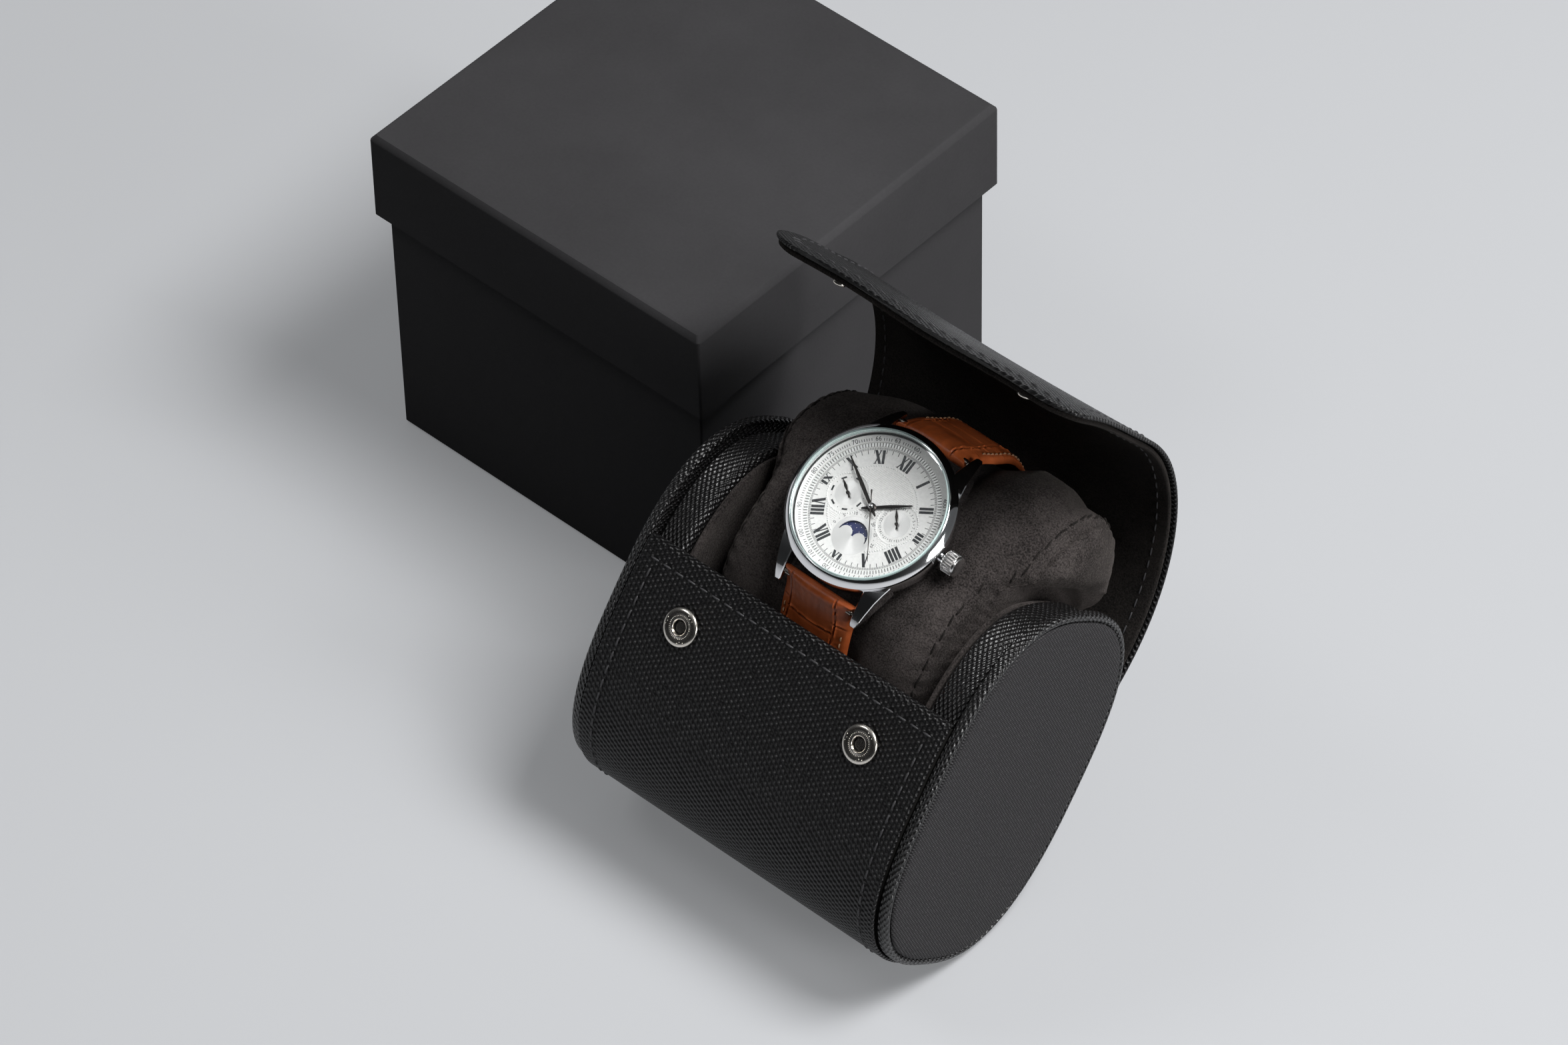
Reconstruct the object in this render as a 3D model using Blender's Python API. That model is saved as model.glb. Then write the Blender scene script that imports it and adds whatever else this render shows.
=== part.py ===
"""Watch gift box: a lift-off-lid carton, a snap-flap watch roll and a dress watch on its cushion.

World frame: metres, +Z up, origin at the middle of the carton's underside. The front of the
roll, where its snaps are, faces -Y. The roll stands to the right of the carton.
"""
import math

import bmesh
import bpy
from mathutils import Matrix, Vector

# Clearance between neighbouring pieces
GAP = 0.0003
QUARTER = math.pi / 2
HALF = math.pi

# Carton
CARTON_SIDE = 0.105
CARTON_HEIGHT = 0.096
CARTON_BOARD = 0.0020
LID_SKIRT = 0.026
LID_SLIDE_GAP = 0.0005
LID_EDGE_IN = 0.0015
LID_EDGE_DOWN = 0.0018
CARTON_CORNER = 0.0006

# Roll: its cross-section is a rounded oval that leans back, turns counted from its top
ROLL_X = 0.1179
ROLL_Y = -0.0760
ROLL_LEAN = math.radians(38.3)
COVER_LENGTH = 0.090
COVER_SHORT = 0.0334
COVER_LONG = 0.0462
OVAL_POWER = 2.64
COVER_FIRST = math.radians(76.0)
COVER_LAST = math.radians(284.0)
COVER_STEPS = 40

# Layers of the cover from the outside in
LEATHER = 0.0010
STIFFENER = 0.0008
LINING = 0.0006
COVER_THICKNESS = LEATHER + STIFFENER + LINING + 2 * GAP
LAYER_SETBACK = math.radians(1.8)
HEM_GAP = math.radians(0.4)

# Ends of the roll
END_POINTS = 48
BLOCK_THICKNESS = 0.0087
BLOCK_EDGE = 0.0008
END_LINING = 0.0015
PANEL_THICKNESS = 0.0032
PANEL_INSET = 0.0010
PANEL_EDGE = 0.0028

# Flap: heading of the leather above the horizontal, in degrees, at shares of its length
FLAP_LENGTH = 0.131
FLAP_BEND_SHARE = 0.58
FLAP_BEND = FLAP_BEND_SHARE * FLAP_LENGTH
FLAP_HEADINGS = [(0.0, 31.0), (0.29, 70.0), (FLAP_BEND_SHARE, 107.5), (0.687, 126.0), (1.0, 145.0)]
FLAP_LINING = 0.0012
FLAP_LINING_INSET = 0.0008
FLAP_LINING_SETBACK = 0.0013
FLAP_CORNER = 0.009

# Snaps
SNAP_SPACING = 0.6 * COVER_LENGTH
SNAP_TURN = math.radians(270.6)
SNAP_FROM_EDGE = 0.0103
SNAP_POST = 0.0013
SOCKET_RADIUS = 0.0046
SOCKET_MOUTH = 0.0018
SOCKET_HEIGHT = 0.0012
STUD_RADIUS = 0.0034
STUD_KNOB = 0.0016
STUD_HEIGHT = 0.0021
STUD_PLATE = 0.0026

# Cushion: an oval pillow along its own X, its watch face turned up along its own Z
CUSHION_X = ROLL_X - 0.0008
CUSHION_Y = -0.0554
CUSHION_Z = 0.0688
CUSHION_PITCH = math.radians(24.0)
CUSHION_LEAN = math.radians(3.5)
CUSHION_LONG = 0.0352
CUSHION_THICK = 0.0262
CUSHION_POWER = 2.3
CUSHION_POINTS = 36
CUSHION_PLAY = 0.0015
CUSHION_HALF = COVER_LENGTH / 2 - BLOCK_THICKNESS - GAP - END_LINING - CUSHION_PLAY
CUSHION_WAIST = 0.0030
CUSHION_WAIST_HALF = 0.0109
CUSHION_SEAT = 0.0018
CUSHION_SEAT_HALF = 0.0178
CUSHION_SEAM = CUSHION_HALF - 0.0028
CUSHION_BACK = 0.0038
CUSHION_BULGE = 0.0044
CUSHION_RISE = Vector((0.75, 0.66))
CUSHION_FREE = (0.0150, 0.0270)
CUSHION_STOPS = [(0.0, CUSHION_WAIST), (CUSHION_WAIST_HALF, CUSHION_WAIST),
                 (CUSHION_WAIST_HALF + 0.0013, CUSHION_WAIST * 0.5),
                 (CUSHION_WAIST_HALF + 0.0032, CUSHION_WAIST * 0.08),
                 (CUSHION_SEAT_HALF, 0.0), (0.0212, 0.0), (0.0245, 0.0002),
                 (CUSHION_SEAM - 0.0035, 0.0009), (CUSHION_SEAM - 0.0008, 0.0021),
                 (CUSHION_SEAM, 0.0030), (CUSHION_SEAM + 0.0008, 0.0027),
                 (CUSHION_HALF - 0.0011, 0.0052), (CUSHION_HALF - 0.0003, 0.0095),
                 (CUSHION_HALF, 0.0160)]

# Watch: radii from its middle, heights above the face of the dial
ROUND_STEPS = 48
CASE_RADIUS = 0.0195
CASE_TOP = 0.0007
CASE_BOTTOM = 0.0064
CASE_BACK_BOTTOM = 0.0072
CASE_BORE = 0.0163
DIAL_BORE = 0.0179
DIAL_THICKNESS = 0.0004
BEZEL_RADIUS = 0.0200
BEZEL_TOP = 0.0029
CRYSTAL_RADIUS = 0.0181
CRYSTAL_LOW = 0.00215
CRYSTAL_HIGH = 0.0032
CHAPTER_INNER = 0.0155
DIAL_Y = 0.00065
DIAL_Z = CUSHION_THICK - CUSHION_SEAT + GAP + CASE_BACK_BOTTOM

# Lugs: outer half width, low and high edge at distances from the middle towards the tip
LUG_INNER = 0.0101
LUG_SECTIONS = [(0.0138, 0.0136, -0.0048, -0.0007), (0.0160, 0.0132, -0.0052, -0.0002),
                (0.0205, 0.0125, -0.0061, -0.0030), (0.0230, 0.0120, -0.0065, -0.0048),
                (0.0238, 0.01185, -0.0065, -0.0056)]
BAR_REACH = 0.0215
BAR_DROP = 0.0048
BAR_RADIUS = 0.00070
BAR_PIN = 0.0004
BAR_PIN_GAP = 0.0002

# Movement, crown and hands
MOVEMENT_RADIUS = CASE_BORE - GAP
MOVEMENT_TOP = 0.0013
ARBOR_RADIUS = 0.00055
ARBOR_TOP = 0.0014
CROWN_DROP = 0.0030
CROWN_START = 0.0205
CROWN_LENGTH = 0.0037
CROWN_RADIUS = 0.00265
CROWN_FLUTE = 0.00022
TUBE_RADIUS = 0.0014
STEM_RADIUS = 0.0005
STEM_START = 0.0129
STEM_IN_CROWN = 0.0021
HAND_THICKNESS = 0.0002
TIME_MINUTES = 110.3
SECOND_AT = 24.2
SUBDIAL_X = 0.0071
SUBHAND_HEIGHT = GAP
MOON_Y = -0.0077
MOON_RADIUS = 0.0044
MOON_WINDOW = 0.0037
MOON_HUMP = 0.0016

# Strap: heights are counted from the pressed-in middle of the cushion
STRAP_THICKNESS = 0.0022
STRAP_HORN = 0.0034
STRAP_WIDTH = 0.0195
STRAP_END_WIDTH = 0.0176
STRAP_RISE = 0.0015
STRAP_JOIN = 64.0
STRAP_PULLS = {1: Vector((0.60, -0.54)), -1: Vector((-0.26, -0.56))}
STRAP_STEP = 3.5
LONG_END = 246.0
TAIL_RAMP = (191.0, 200.5)
TAIL_RISE = 0.0046
SHORT_END = 203.0
SHORT_RISE = 0.0019
SHORT_RAMP = (262.0, 242.0)
LOOP_THICKNESS = 0.0026

# Buckle and keepers
BUCKLE_BAR = 0.0005
BUCKLE_WIRE = 0.0006
BUCKLE_PIN = 0.0003
BUCKLE_HOLE_GAP = 0.00015
BUCKLE_INNER_HALF = 0.00945
BUCKLE_OUTER_HALF = 0.01050
BOW_TURN = 190.0
BOW_RISE = STRAP_RISE + STRAP_THICKNESS / 2 + GAP + BUCKLE_WIRE
TONGUE_HALF = 0.00055
TONGUE_THICKNESS = 0.0005
TONGUE_LOOP = 0.0009
KEEPER_BOARD = 0.0004
KEEPER_WIDTH = 0.0045
KEEPER_TURNS = {"keeper_fixed": 215.0, "keeper_free": 231.0}


def clear_scene():
    for obj in list(bpy.data.objects):
        bpy.data.objects.remove(obj, do_unlink=True)


def make_material(name, colour, roughness, metallic=0.0):
    mat = bpy.data.materials.new(name)
    mat.use_nodes = True
    shader = mat.node_tree.nodes["Principled BSDF"]
    shader.inputs["Base Color"].default_value = (*colour, 1.0)
    shader.inputs["Roughness"].default_value = roughness
    shader.inputs["Metallic"].default_value = metallic
    mat.diffuse_color = (*colour, 1.0)
    return mat


def make_materials():
    return {
        "carton": make_material("black_paper", (0.040, 0.040, 0.042), 0.55),
        "leather": make_material("black_leather", (0.020, 0.020, 0.022), 0.45),
        "panel": make_material("grey_leather", (0.035, 0.035, 0.037), 0.50),
        "board": make_material("stiffener_board", (0.25, 0.22, 0.18), 0.90),
        "suede": make_material("dark_suede", (0.030, 0.027, 0.025), 0.95),
        "nickel": make_material("nickel", (0.62, 0.60, 0.56), 0.22, 1.0),
        "steel": make_material("polished_steel", (0.80, 0.80, 0.80), 0.12, 1.0),
        "movement": make_material("movement_metal", (0.55, 0.50, 0.40), 0.40, 1.0),
        "glass": make_material("crystal_glass", (0.85, 0.90, 0.90), 0.03),
        "dial": make_material("silver_dial", (0.80, 0.80, 0.79), 0.35),
        "hand": make_material("dark_hand", (0.08, 0.08, 0.10), 0.30, 1.0),
        "moon": make_material("moon_disc_blue", (0.02, 0.03, 0.12), 0.30),
        "strap": make_material("brown_leather", (0.30, 0.085, 0.03), 0.45),
    }


def make_object(name, mesh, mat, parent=None, sharp_angle=35.0):
    obj = bpy.data.objects.new(name, mesh)
    bpy.context.scene.collection.objects.link(obj)
    mesh.materials.append(mat)
    mesh.shade_smooth()
    mesh.set_sharp_from_angle(angle=math.radians(sharp_angle))
    obj.parent = parent
    return obj


def make_frame(name, location, turn=None, parent=None):
    frame = bpy.data.objects.new(name, None)
    bpy.context.scene.collection.objects.link(frame)
    frame.parent = parent
    frame.location = location
    if turn is not None:
        frame.rotation_euler = turn.to_euler()
    return frame


def finish_mesh(bm, name):
    bmesh.ops.recalc_face_normals(bm, faces=bm.faces)
    mesh = bpy.data.meshes.new(name)
    bm.to_mesh(mesh)
    bm.free()
    return mesh


def lofted(name, rings, closed=False):
    """Solid through rings of points; with flat ends, or closed on itself."""
    bm = bmesh.new()
    loops = [[bm.verts.new(point) for point in ring] for ring in rings]
    count = len(rings[0])
    pairs = list(zip(loops, loops[1:]))
    if closed:
        pairs.append((loops[-1], loops[0]))
    else:
        bm.faces.new(loops[0])
        bm.faces.new(loops[-1])
    for lower, upper in pairs:
        for i in range(count):
            j = (i + 1) % count
            bm.faces.new((lower[i], lower[j], upper[j], upper[i]))
    return finish_mesh(bm, name)


def spun(name, profile, steps=ROUND_STEPS):
    """Solid turned round Z from a closed outline of (radius, height)."""
    bm = bmesh.new()
    verts = [bm.verts.new((radius, 0.0, height)) for radius, height in profile]
    edges = [bm.edges.new((a, b)) for a, b in zip(verts, verts[1:] + verts[:1])
             if a.co.x + b.co.x > 0.0]
    bmesh.ops.spin(bm, geom=verts + edges, cent=(0, 0, 0), axis=(0, 0, 1), angle=2 * HALF,
                   steps=steps, use_merge=True)
    bmesh.ops.remove_doubles(bm, verts=bm.verts, dist=1e-7)
    return finish_mesh(bm, name)


def prism(name, outline, low, high):
    """Solid pushed up along Z from a flat outline."""
    return lofted(name, [[(x, y, z) for x, y in outline] for z in (low, high)])


def rod(name, layers, steps=16):
    """Round solid along X through layers of (place, radius)."""
    turns = [2 * HALF * i / steps for i in range(steps)]
    rings = [[(x, r * math.cos(t), r * math.sin(t)) for t in turns] for x, r in layers]
    return lofted(name, rings)


def circle(radius, steps, centre=(0.0, 0.0)):
    turns = [2 * HALF * i / steps for i in range(steps)]
    return [(centre[0] + radius * math.cos(t), centre[1] + radius * math.sin(t)) for t in turns]


def box(name, low, high):
    corners = [(low[0], low[1]), (high[0], low[1]), (high[0], high[1]), (low[0], high[1])]
    return prism(name, corners, low[2], high[2])


def add_helper(name, mesh, parent=None):
    """Helper solid for a cut or a join; it is never shown."""
    obj = bpy.data.objects.new(name, mesh)
    bpy.context.scene.collection.objects.link(obj)
    obj.parent = parent
    obj.hide_render = True
    obj.display_type = "WIRE"
    return obj


def apply_helper(target, helper, operation="DIFFERENCE"):
    modifier = target.modifiers.new(helper.name, "BOOLEAN")
    modifier.object = helper
    modifier.operation = operation
    modifier.solver = "EXACT"


def oval_point(turn, short, long, power):
    """Point of a rounded oval as (across, along), turned from its long end."""
    sine, cosine = math.sin(turn), math.cos(turn)
    across = short * math.copysign(abs(sine) ** (2 / power), sine)
    along = long * math.copysign(abs(cosine) ** (2 / power), cosine)
    return Vector((across, along))


def oval_normal(point, short, long, power):
    across = math.copysign(abs(point.x / short) ** (power - 1) / short, point.x)
    along = math.copysign(abs(point.y / long) ** (power - 1) / long, point.y)
    return Vector((across, along)).normalized()


def oval_reach(angle, short, long, power):
    """How far a rounded oval reaches in a direction turned from its long axis."""
    share = power / (power - 1)
    sums = abs(short * math.sin(angle)) ** share + abs(long * math.cos(angle)) ** share
    return sums ** (1 / share)


def strip(name, pairs, origin=(0.0, 0.0)):
    """Solid along X through pairs of (outer point, inner point, half width)."""
    shift = Vector(origin)
    rings = []
    for outer, inner, half in pairs:
        a, b = outer - shift, inner - shift
        rings.append([(-half, a.x, a.y), (half, a.x, a.y), (half, b.x, b.y), (-half, b.x, b.y)])
    return lofted(name, rings)


def layer_pair(point, normal, half, outer, inner):
    """Pair of a layer that lies between two depths under a point."""
    return (point - normal * outer, point - normal * inner, half)


def round_end(point, normal, heading, half, thickness, steps=4):
    """Pairs that close a layer with a half round, away from the layer."""
    radius = thickness / 2
    pairs = []
    for i in range(1, steps + 1):
        turn = i / steps * QUARTER * 0.97
        reach = point + heading * radius * math.sin(turn)
        thin = normal * radius * math.cos(turn)
        pairs.append((reach + thin, reach - thin, half))
    return pairs


# Carton

def rounded_square(half, radius, steps=3):
    points = []
    for quarter in range(4):
        start = quarter * QUARTER
        middle = start + QUARTER / 2
        x = math.copysign(half - radius, math.cos(middle))
        y = math.copysign(half - radius, math.sin(middle))
        for i in range(steps + 1):
            turn = start + i / steps * QUARTER
            points.append((x + radius * math.cos(turn), y + radius * math.sin(turn)))
    return points


def carton_part(name, mats, sections):
    """Board box through (half side, height) sections, from its open rim's outside inwards."""
    rings = [[(x, y, z) for x, y in rounded_square(half, CARTON_CORNER)] for half, z in sections]
    return make_object(name, lofted(name, rings), mats["carton"])


def carton(mats):
    lid_half = CARTON_SIDE / 2
    tray_half = lid_half - CARTON_BOARD - LID_SLIDE_GAP
    rim = CARTON_HEIGHT - CARTON_BOARD - GAP
    low = CARTON_HEIGHT - LID_SKIRT
    carton_part("carton_tray", mats, [
        (tray_half, 0.0), (tray_half, rim), (tray_half - CARTON_BOARD, rim),
        (tray_half - CARTON_BOARD, CARTON_BOARD)])
    carton_part("carton_lid", mats, [
        (lid_half - LID_EDGE_IN, CARTON_HEIGHT), (lid_half, CARTON_HEIGHT - LID_EDGE_DOWN),
        (lid_half, low), (lid_half - CARTON_BOARD, low),
        (lid_half - CARTON_BOARD, CARTON_HEIGHT - CARTON_BOARD)])


# Roll cover

def cover_point(turn):
    return oval_point(turn, COVER_SHORT, COVER_LONG, OVAL_POWER)


def cover_normal(turn):
    return oval_normal(cover_point(turn), COVER_SHORT, COVER_LONG, OVAL_POWER)


def cover_pairs(first, last, outer, inner):
    half = COVER_LENGTH / 2
    turns = [first + (last - first) * i / COVER_STEPS for i in range(COVER_STEPS + 1)]
    return [layer_pair(cover_point(t), cover_normal(t), half, outer, inner) for t in turns]


def fold_axis():
    """Where the flap folds: the middle of the leather at the cover's back edge."""
    return cover_point(COVER_FIRST) - cover_normal(COVER_FIRST) * LEATHER / 2


def cover_leather(mats, roll):
    """Outer leather, rounded at the fold and turned in over the front edge."""
    half = COVER_LENGTH / 2
    pairs = cover_pairs(COVER_FIRST, COVER_LAST, 0.0, LEATHER)
    normal = cover_normal(COVER_FIRST)
    fold_end = round_end(fold_axis(), normal, Vector((-normal.y, normal.x)), half, LEATHER)
    point, normal = cover_point(COVER_LAST), cover_normal(COVER_LAST)
    edge = point + Vector((normal.y, -normal.x)) * LEATHER
    inside = point - normal * COVER_THICKNESS
    hem = [(edge, point - normal * LEATHER, half), (edge - normal * COVER_THICKNESS, inside, half)]
    pairs = list(reversed(fold_end)) + pairs[:-1] + hem
    return make_object("cover_leather", strip("cover_leather", pairs), mats["leather"], roll)


def cover_layer(name, mat, roll, outer, thickness):
    first, last = COVER_FIRST + LAYER_SETBACK, COVER_LAST - HEM_GAP
    pairs = cover_pairs(first, last, outer, outer + thickness)
    return make_object(name, strip(name, pairs), mat, roll)


def roll_cover(mats, roll):
    leather = cover_leather(mats, roll)
    board_depth = LEATHER + GAP
    board = cover_layer("cover_board", mats["board"], roll, board_depth, STIFFENER)
    lining_depth = board_depth + STIFFENER + GAP
    lining = cover_layer("cover_lining", mats["suede"], roll, lining_depth, LINING)
    return [leather, board, lining]


def oval_disc(name, layers):
    """Oval slab along X: each layer is (place, inset from the cover's outline)."""
    turns = [2 * HALF * i / END_POINTS for i in range(END_POINTS)]
    rings = []
    for x, inset in layers:
        points = [cover_point(turn) - cover_normal(turn) * inset for turn in turns]
        rings.append([(x, point.x, point.y) for point in points])
    return lofted(name, rings)


def roll_end(mats, roll, side, label):
    """One end of the roll: block in the cover, suede inside it, padded panel outside it."""
    outer_x = COVER_LENGTH / 2
    inner_x = outer_x - BLOCK_THICKNESS
    fit = COVER_THICKNESS + GAP
    block = [(inner_x, fit + BLOCK_EDGE), (inner_x + BLOCK_EDGE, fit), (outer_x, fit)]
    lining_x = inner_x - GAP
    lining = [(lining_x - END_LINING, fit + 2 * LINING), (lining_x - END_LINING + LINING, fit + LINING),
              (lining_x, fit + LINING)]
    back = outer_x + GAP
    panel = [(back, PANEL_INSET + GAP), (back + GAP, PANEL_INSET)]
    for i in range(1, 5):
        turn = i / 4 * QUARTER
        rise = (PANEL_THICKNESS - 2 * GAP) * math.sin(turn)
        panel.append((back + GAP + rise, PANEL_INSET + PANEL_EDGE * (1 - math.cos(turn))))
    for kind, layers, mat in (("end_block", block, "leather"), ("end_lining", lining, "suede"),
                              ("end_panel", panel, "panel")):
        name = kind + "_" + label
        mirrored = [(side * x, inset) for x, inset in layers]
        make_object(name, oval_disc(name, mirrored), mats[mat], roll)


# Flap

def flap_heading(distance):
    share = distance / FLAP_LENGTH
    for (start, first), (end, last) in zip(FLAP_HEADINGS, FLAP_HEADINGS[1:]):
        if share <= end:
            break
    degrees = first + (last - first) * (share - start) / (end - start)
    return math.radians(degrees) + ROLL_LEAN


def flap_path(samples=524):
    """Points along the middle of the flap's leather, at even steps from the fold."""
    step = FLAP_LENGTH / samples
    points = [fold_axis()]
    for i in range(samples):
        heading = flap_heading((i + 0.5) * step)
        points.append(points[-1] + Vector((math.cos(heading), math.sin(heading))) * step)
    return points


def flap_place(path, distance):
    """Point, direction and outward normal of the flap at a distance from the fold."""
    place = distance / FLAP_LENGTH * (len(path) - 1)
    index = min(int(place), len(path) - 2)
    point = path[index].lerp(path[index + 1], place - index)
    heading = flap_heading(distance)
    direction = Vector((math.cos(heading), math.sin(heading)))
    return point, direction, Vector((direction.y, -direction.x))


def flap_layer(path, first, last, steps, outer, thickness, inset, cornered):
    """Pairs of one layer of the flap; the free end has rounded corners."""
    half = COVER_LENGTH / 2 - inset
    radius = FLAP_CORNER - inset
    straight_end = last - radius if cornered else last
    stops = [(first + (straight_end - first) * i / steps, half) for i in range(steps + 1)]
    if cornered:
        for degrees in (18, 36, 54, 70, 84):
            turn = math.radians(degrees)
            stops.append((straight_end + radius * math.sin(turn),
                          half - radius * (1 - math.cos(turn))))
    pairs = []
    for distance, width in stops:
        point, _, outward = flap_place(path, distance)
        pairs.append(layer_pair(point, outward, width, outer, outer + thickness))
    return pairs


def flap_panel(mats, name, path, frame, origin, first, last, steps, cornered):
    """One rigid length of the flap: leather outside, suede inside."""
    leather = flap_layer(path, first, last, steps, -LEATHER / 2, LEATHER, 0.0, cornered)
    if not cornered:
        point, direction, outward = flap_place(path, last)
        leather += round_end(point, outward, direction, COVER_LENGTH / 2, LEATHER)
    lining_last = last - FLAP_LINING_INSET if cornered else last - FLAP_LINING_SETBACK
    lining = flap_layer(path, first + FLAP_LINING_SETBACK, lining_last, steps, LEATHER / 2 + GAP,
                        FLAP_LINING, FLAP_LINING_INSET, cornered)
    return [make_object(name + "_leather", strip(name + "_leather", leather, origin),
                        mats["leather"], frame),
            make_object(name + "_lining", strip(name + "_lining", lining, origin),
                        mats["suede"], frame)]


def flap(mats, roll):
    """Lower and upper length of the flap on the axes they turn about."""
    path = flap_path()
    fold = path[0]
    bend, _, _ = flap_place(path, FLAP_BEND)
    fold_frame = make_frame("flap_hinge_axis", (0.0, fold.x, fold.y), None, roll)
    offset = bend - fold
    bend_frame = make_frame("flap_bend_axis", (0.0, offset.x, offset.y), None, fold_frame)
    start = LEATHER / 2 + GAP
    flap_panel(mats, "flap_base", path, fold_frame, fold, start, FLAP_BEND, 20, False)
    tip = flap_panel(mats, "flap_tip", path, bend_frame, bend, FLAP_BEND + start, FLAP_LENGTH,
                     10, True)
    point, _, outward = flap_place(path, FLAP_LENGTH - SNAP_FROM_EDGE)
    return tip, bend_frame, point + outward * LEATHER / 2 - bend, outward


# Snaps

def snap_frame(name, x, point, outward, parent):
    """Frame whose Z points out of the leather."""
    turn = Matrix.Rotation(math.atan2(-outward.x, outward.y), 4, "X")
    return make_frame(name, (x, point.x, point.y), turn, parent)


def punch(frame, name, targets, radius, top):
    """Round hole in every target, from well inside up to a height on the snap's axis."""
    helper = add_helper(name, prism(name, circle(radius + GAP, 16), -3 * COVER_THICKNESS, top), frame)
    for target in targets:
        apply_helper(target, helper)


def snap_socket(mats, frame, label):
    """Ring on the front of the roll and the rivet that holds it from inside."""
    ring = [(SOCKET_MOUTH, GAP), (SOCKET_RADIUS, GAP), (SOCKET_RADIUS, SOCKET_HEIGHT * 0.5),
            (SOCKET_RADIUS * 0.86, SOCKET_HEIGHT), (SOCKET_MOUTH * 1.4, SOCKET_HEIGHT),
            (SOCKET_MOUTH, SOCKET_HEIGHT * 0.7)]
    make_object("snap_socket_" + label, spun("socket", ring, 24), mats["nickel"], frame)
    head = -COVER_THICKNESS - GAP
    rivet = [(0.0, head - 2 * GAP), (SOCKET_RADIUS * 0.75, head - 2 * GAP),
             (SOCKET_RADIUS * 0.75, head), (SNAP_POST, head), (SNAP_POST, GAP), (0.0, GAP)]
    make_object("snap_rivet_" + label, spun("rivet", rivet, 16), mats["nickel"], frame)


def snap_stud(mats, frame, label, leather, lining):
    """Knob inside the flap, held by a plate that lies in a pocket of the outer leather."""
    head = -LEATHER - FLAP_LINING - 2 * GAP
    plate = -LEATHER + GAP
    knob = [(0.0, head - STUD_HEIGHT), (STUD_KNOB * 0.75, head - STUD_HEIGHT),
            (STUD_KNOB, head - STUD_HEIGHT * 0.75), (STUD_KNOB * 0.85, head - STUD_HEIGHT * 0.4),
            (STUD_RADIUS * 0.85, head - 2 * GAP), (STUD_RADIUS, head), (SNAP_POST, head),
            (SNAP_POST, -LEATHER), (STUD_PLATE, -LEATHER), (STUD_PLATE, plate), (0.0, plate)]
    make_object("snap_stud_" + label, spun("stud", knob, 20), mats["nickel"], frame)
    punch(frame, "stud_pocket_" + label, [leather], STUD_PLATE, plate + GAP)
    punch(frame, "stud_hole_" + label, [lining], SNAP_POST, plate)


def snaps(mats, roll, cover_layers, flap_layers, bend_frame, stud_point, stud_normal):
    front, front_normal = cover_point(SNAP_TURN), cover_normal(SNAP_TURN)
    for side, label in ((-1, "left"), (1, "right")):
        x = side * SNAP_SPACING / 2
        socket = snap_frame("socket_frame_" + label, x, front, front_normal, roll)
        snap_socket(mats, socket, label)
        punch(socket, "socket_hole_" + label, cover_layers, SNAP_POST, COVER_THICKNESS)
        stud = snap_frame("stud_frame_" + label, x, stud_point, stud_normal, bend_frame)
        snap_stud(mats, stud, label, *flap_layers)


# Cushion

def seat_height(x):
    """Highest point the watch lets the cushion have at a distance from its middle."""
    rise = (abs(x) - CUSHION_SEAT_HALF) * 0.3
    return CUSHION_THICK - CUSHION_SEAT + max(0.0, rise)


def spread(x, y, z):
    """Swelling of the cushion's upper back, where neither the strap nor the ends hold it."""
    free = ramp(CUSHION_RISE.dot(Vector((y, z))), *CUSHION_FREE)
    beside = ramp(abs(x), CUSHION_WAIST_HALF + 0.0032, CUSHION_SEAT_HALF + 0.0022)
    beyond = ramp(abs(x), CUSHION_SEAM - 0.0035, CUSHION_HALF)
    sideways = math.copysign(CUSHION_BULGE * free * beyond, x)
    return x + sideways, y + CUSHION_BACK * free * beside * max(0.0, y) / CUSHION_LONG, z


def cushion(mats, frame):
    """Pillow with a crown, sewn drawn-in ends, the strap's waist and the watch's seat."""
    layers = [(-x, inset) for x, inset in reversed(CUSHION_STOPS[1:])] + CUSHION_STOPS
    turns = [2 * HALF * i / CUSHION_POINTS for i in range(CUSHION_POINTS)]
    rings = []
    for x, inset in layers:
        ring = []
        for turn in turns:
            point = oval_point(turn, CUSHION_LONG - inset, CUSHION_THICK - inset, CUSHION_POWER)
            ring.append(spread(x, point.x, min(point.y, seat_height(x))))
        rings.append(ring)
    return make_object("cushion", lofted("cushion", rings), mats["suede"], frame, 60.0)


# Watch case

def lug_solid(side_x, side_y):
    rings = []
    for y, outer, low, high in LUG_SECTIONS:
        corners = [(LUG_INNER, low), (outer, low), (outer, high), (LUG_INNER, high)]
        rings.append([(side_x * x, side_y * y, z) for x, z in corners])
    return lofted("lug", rings)


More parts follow.
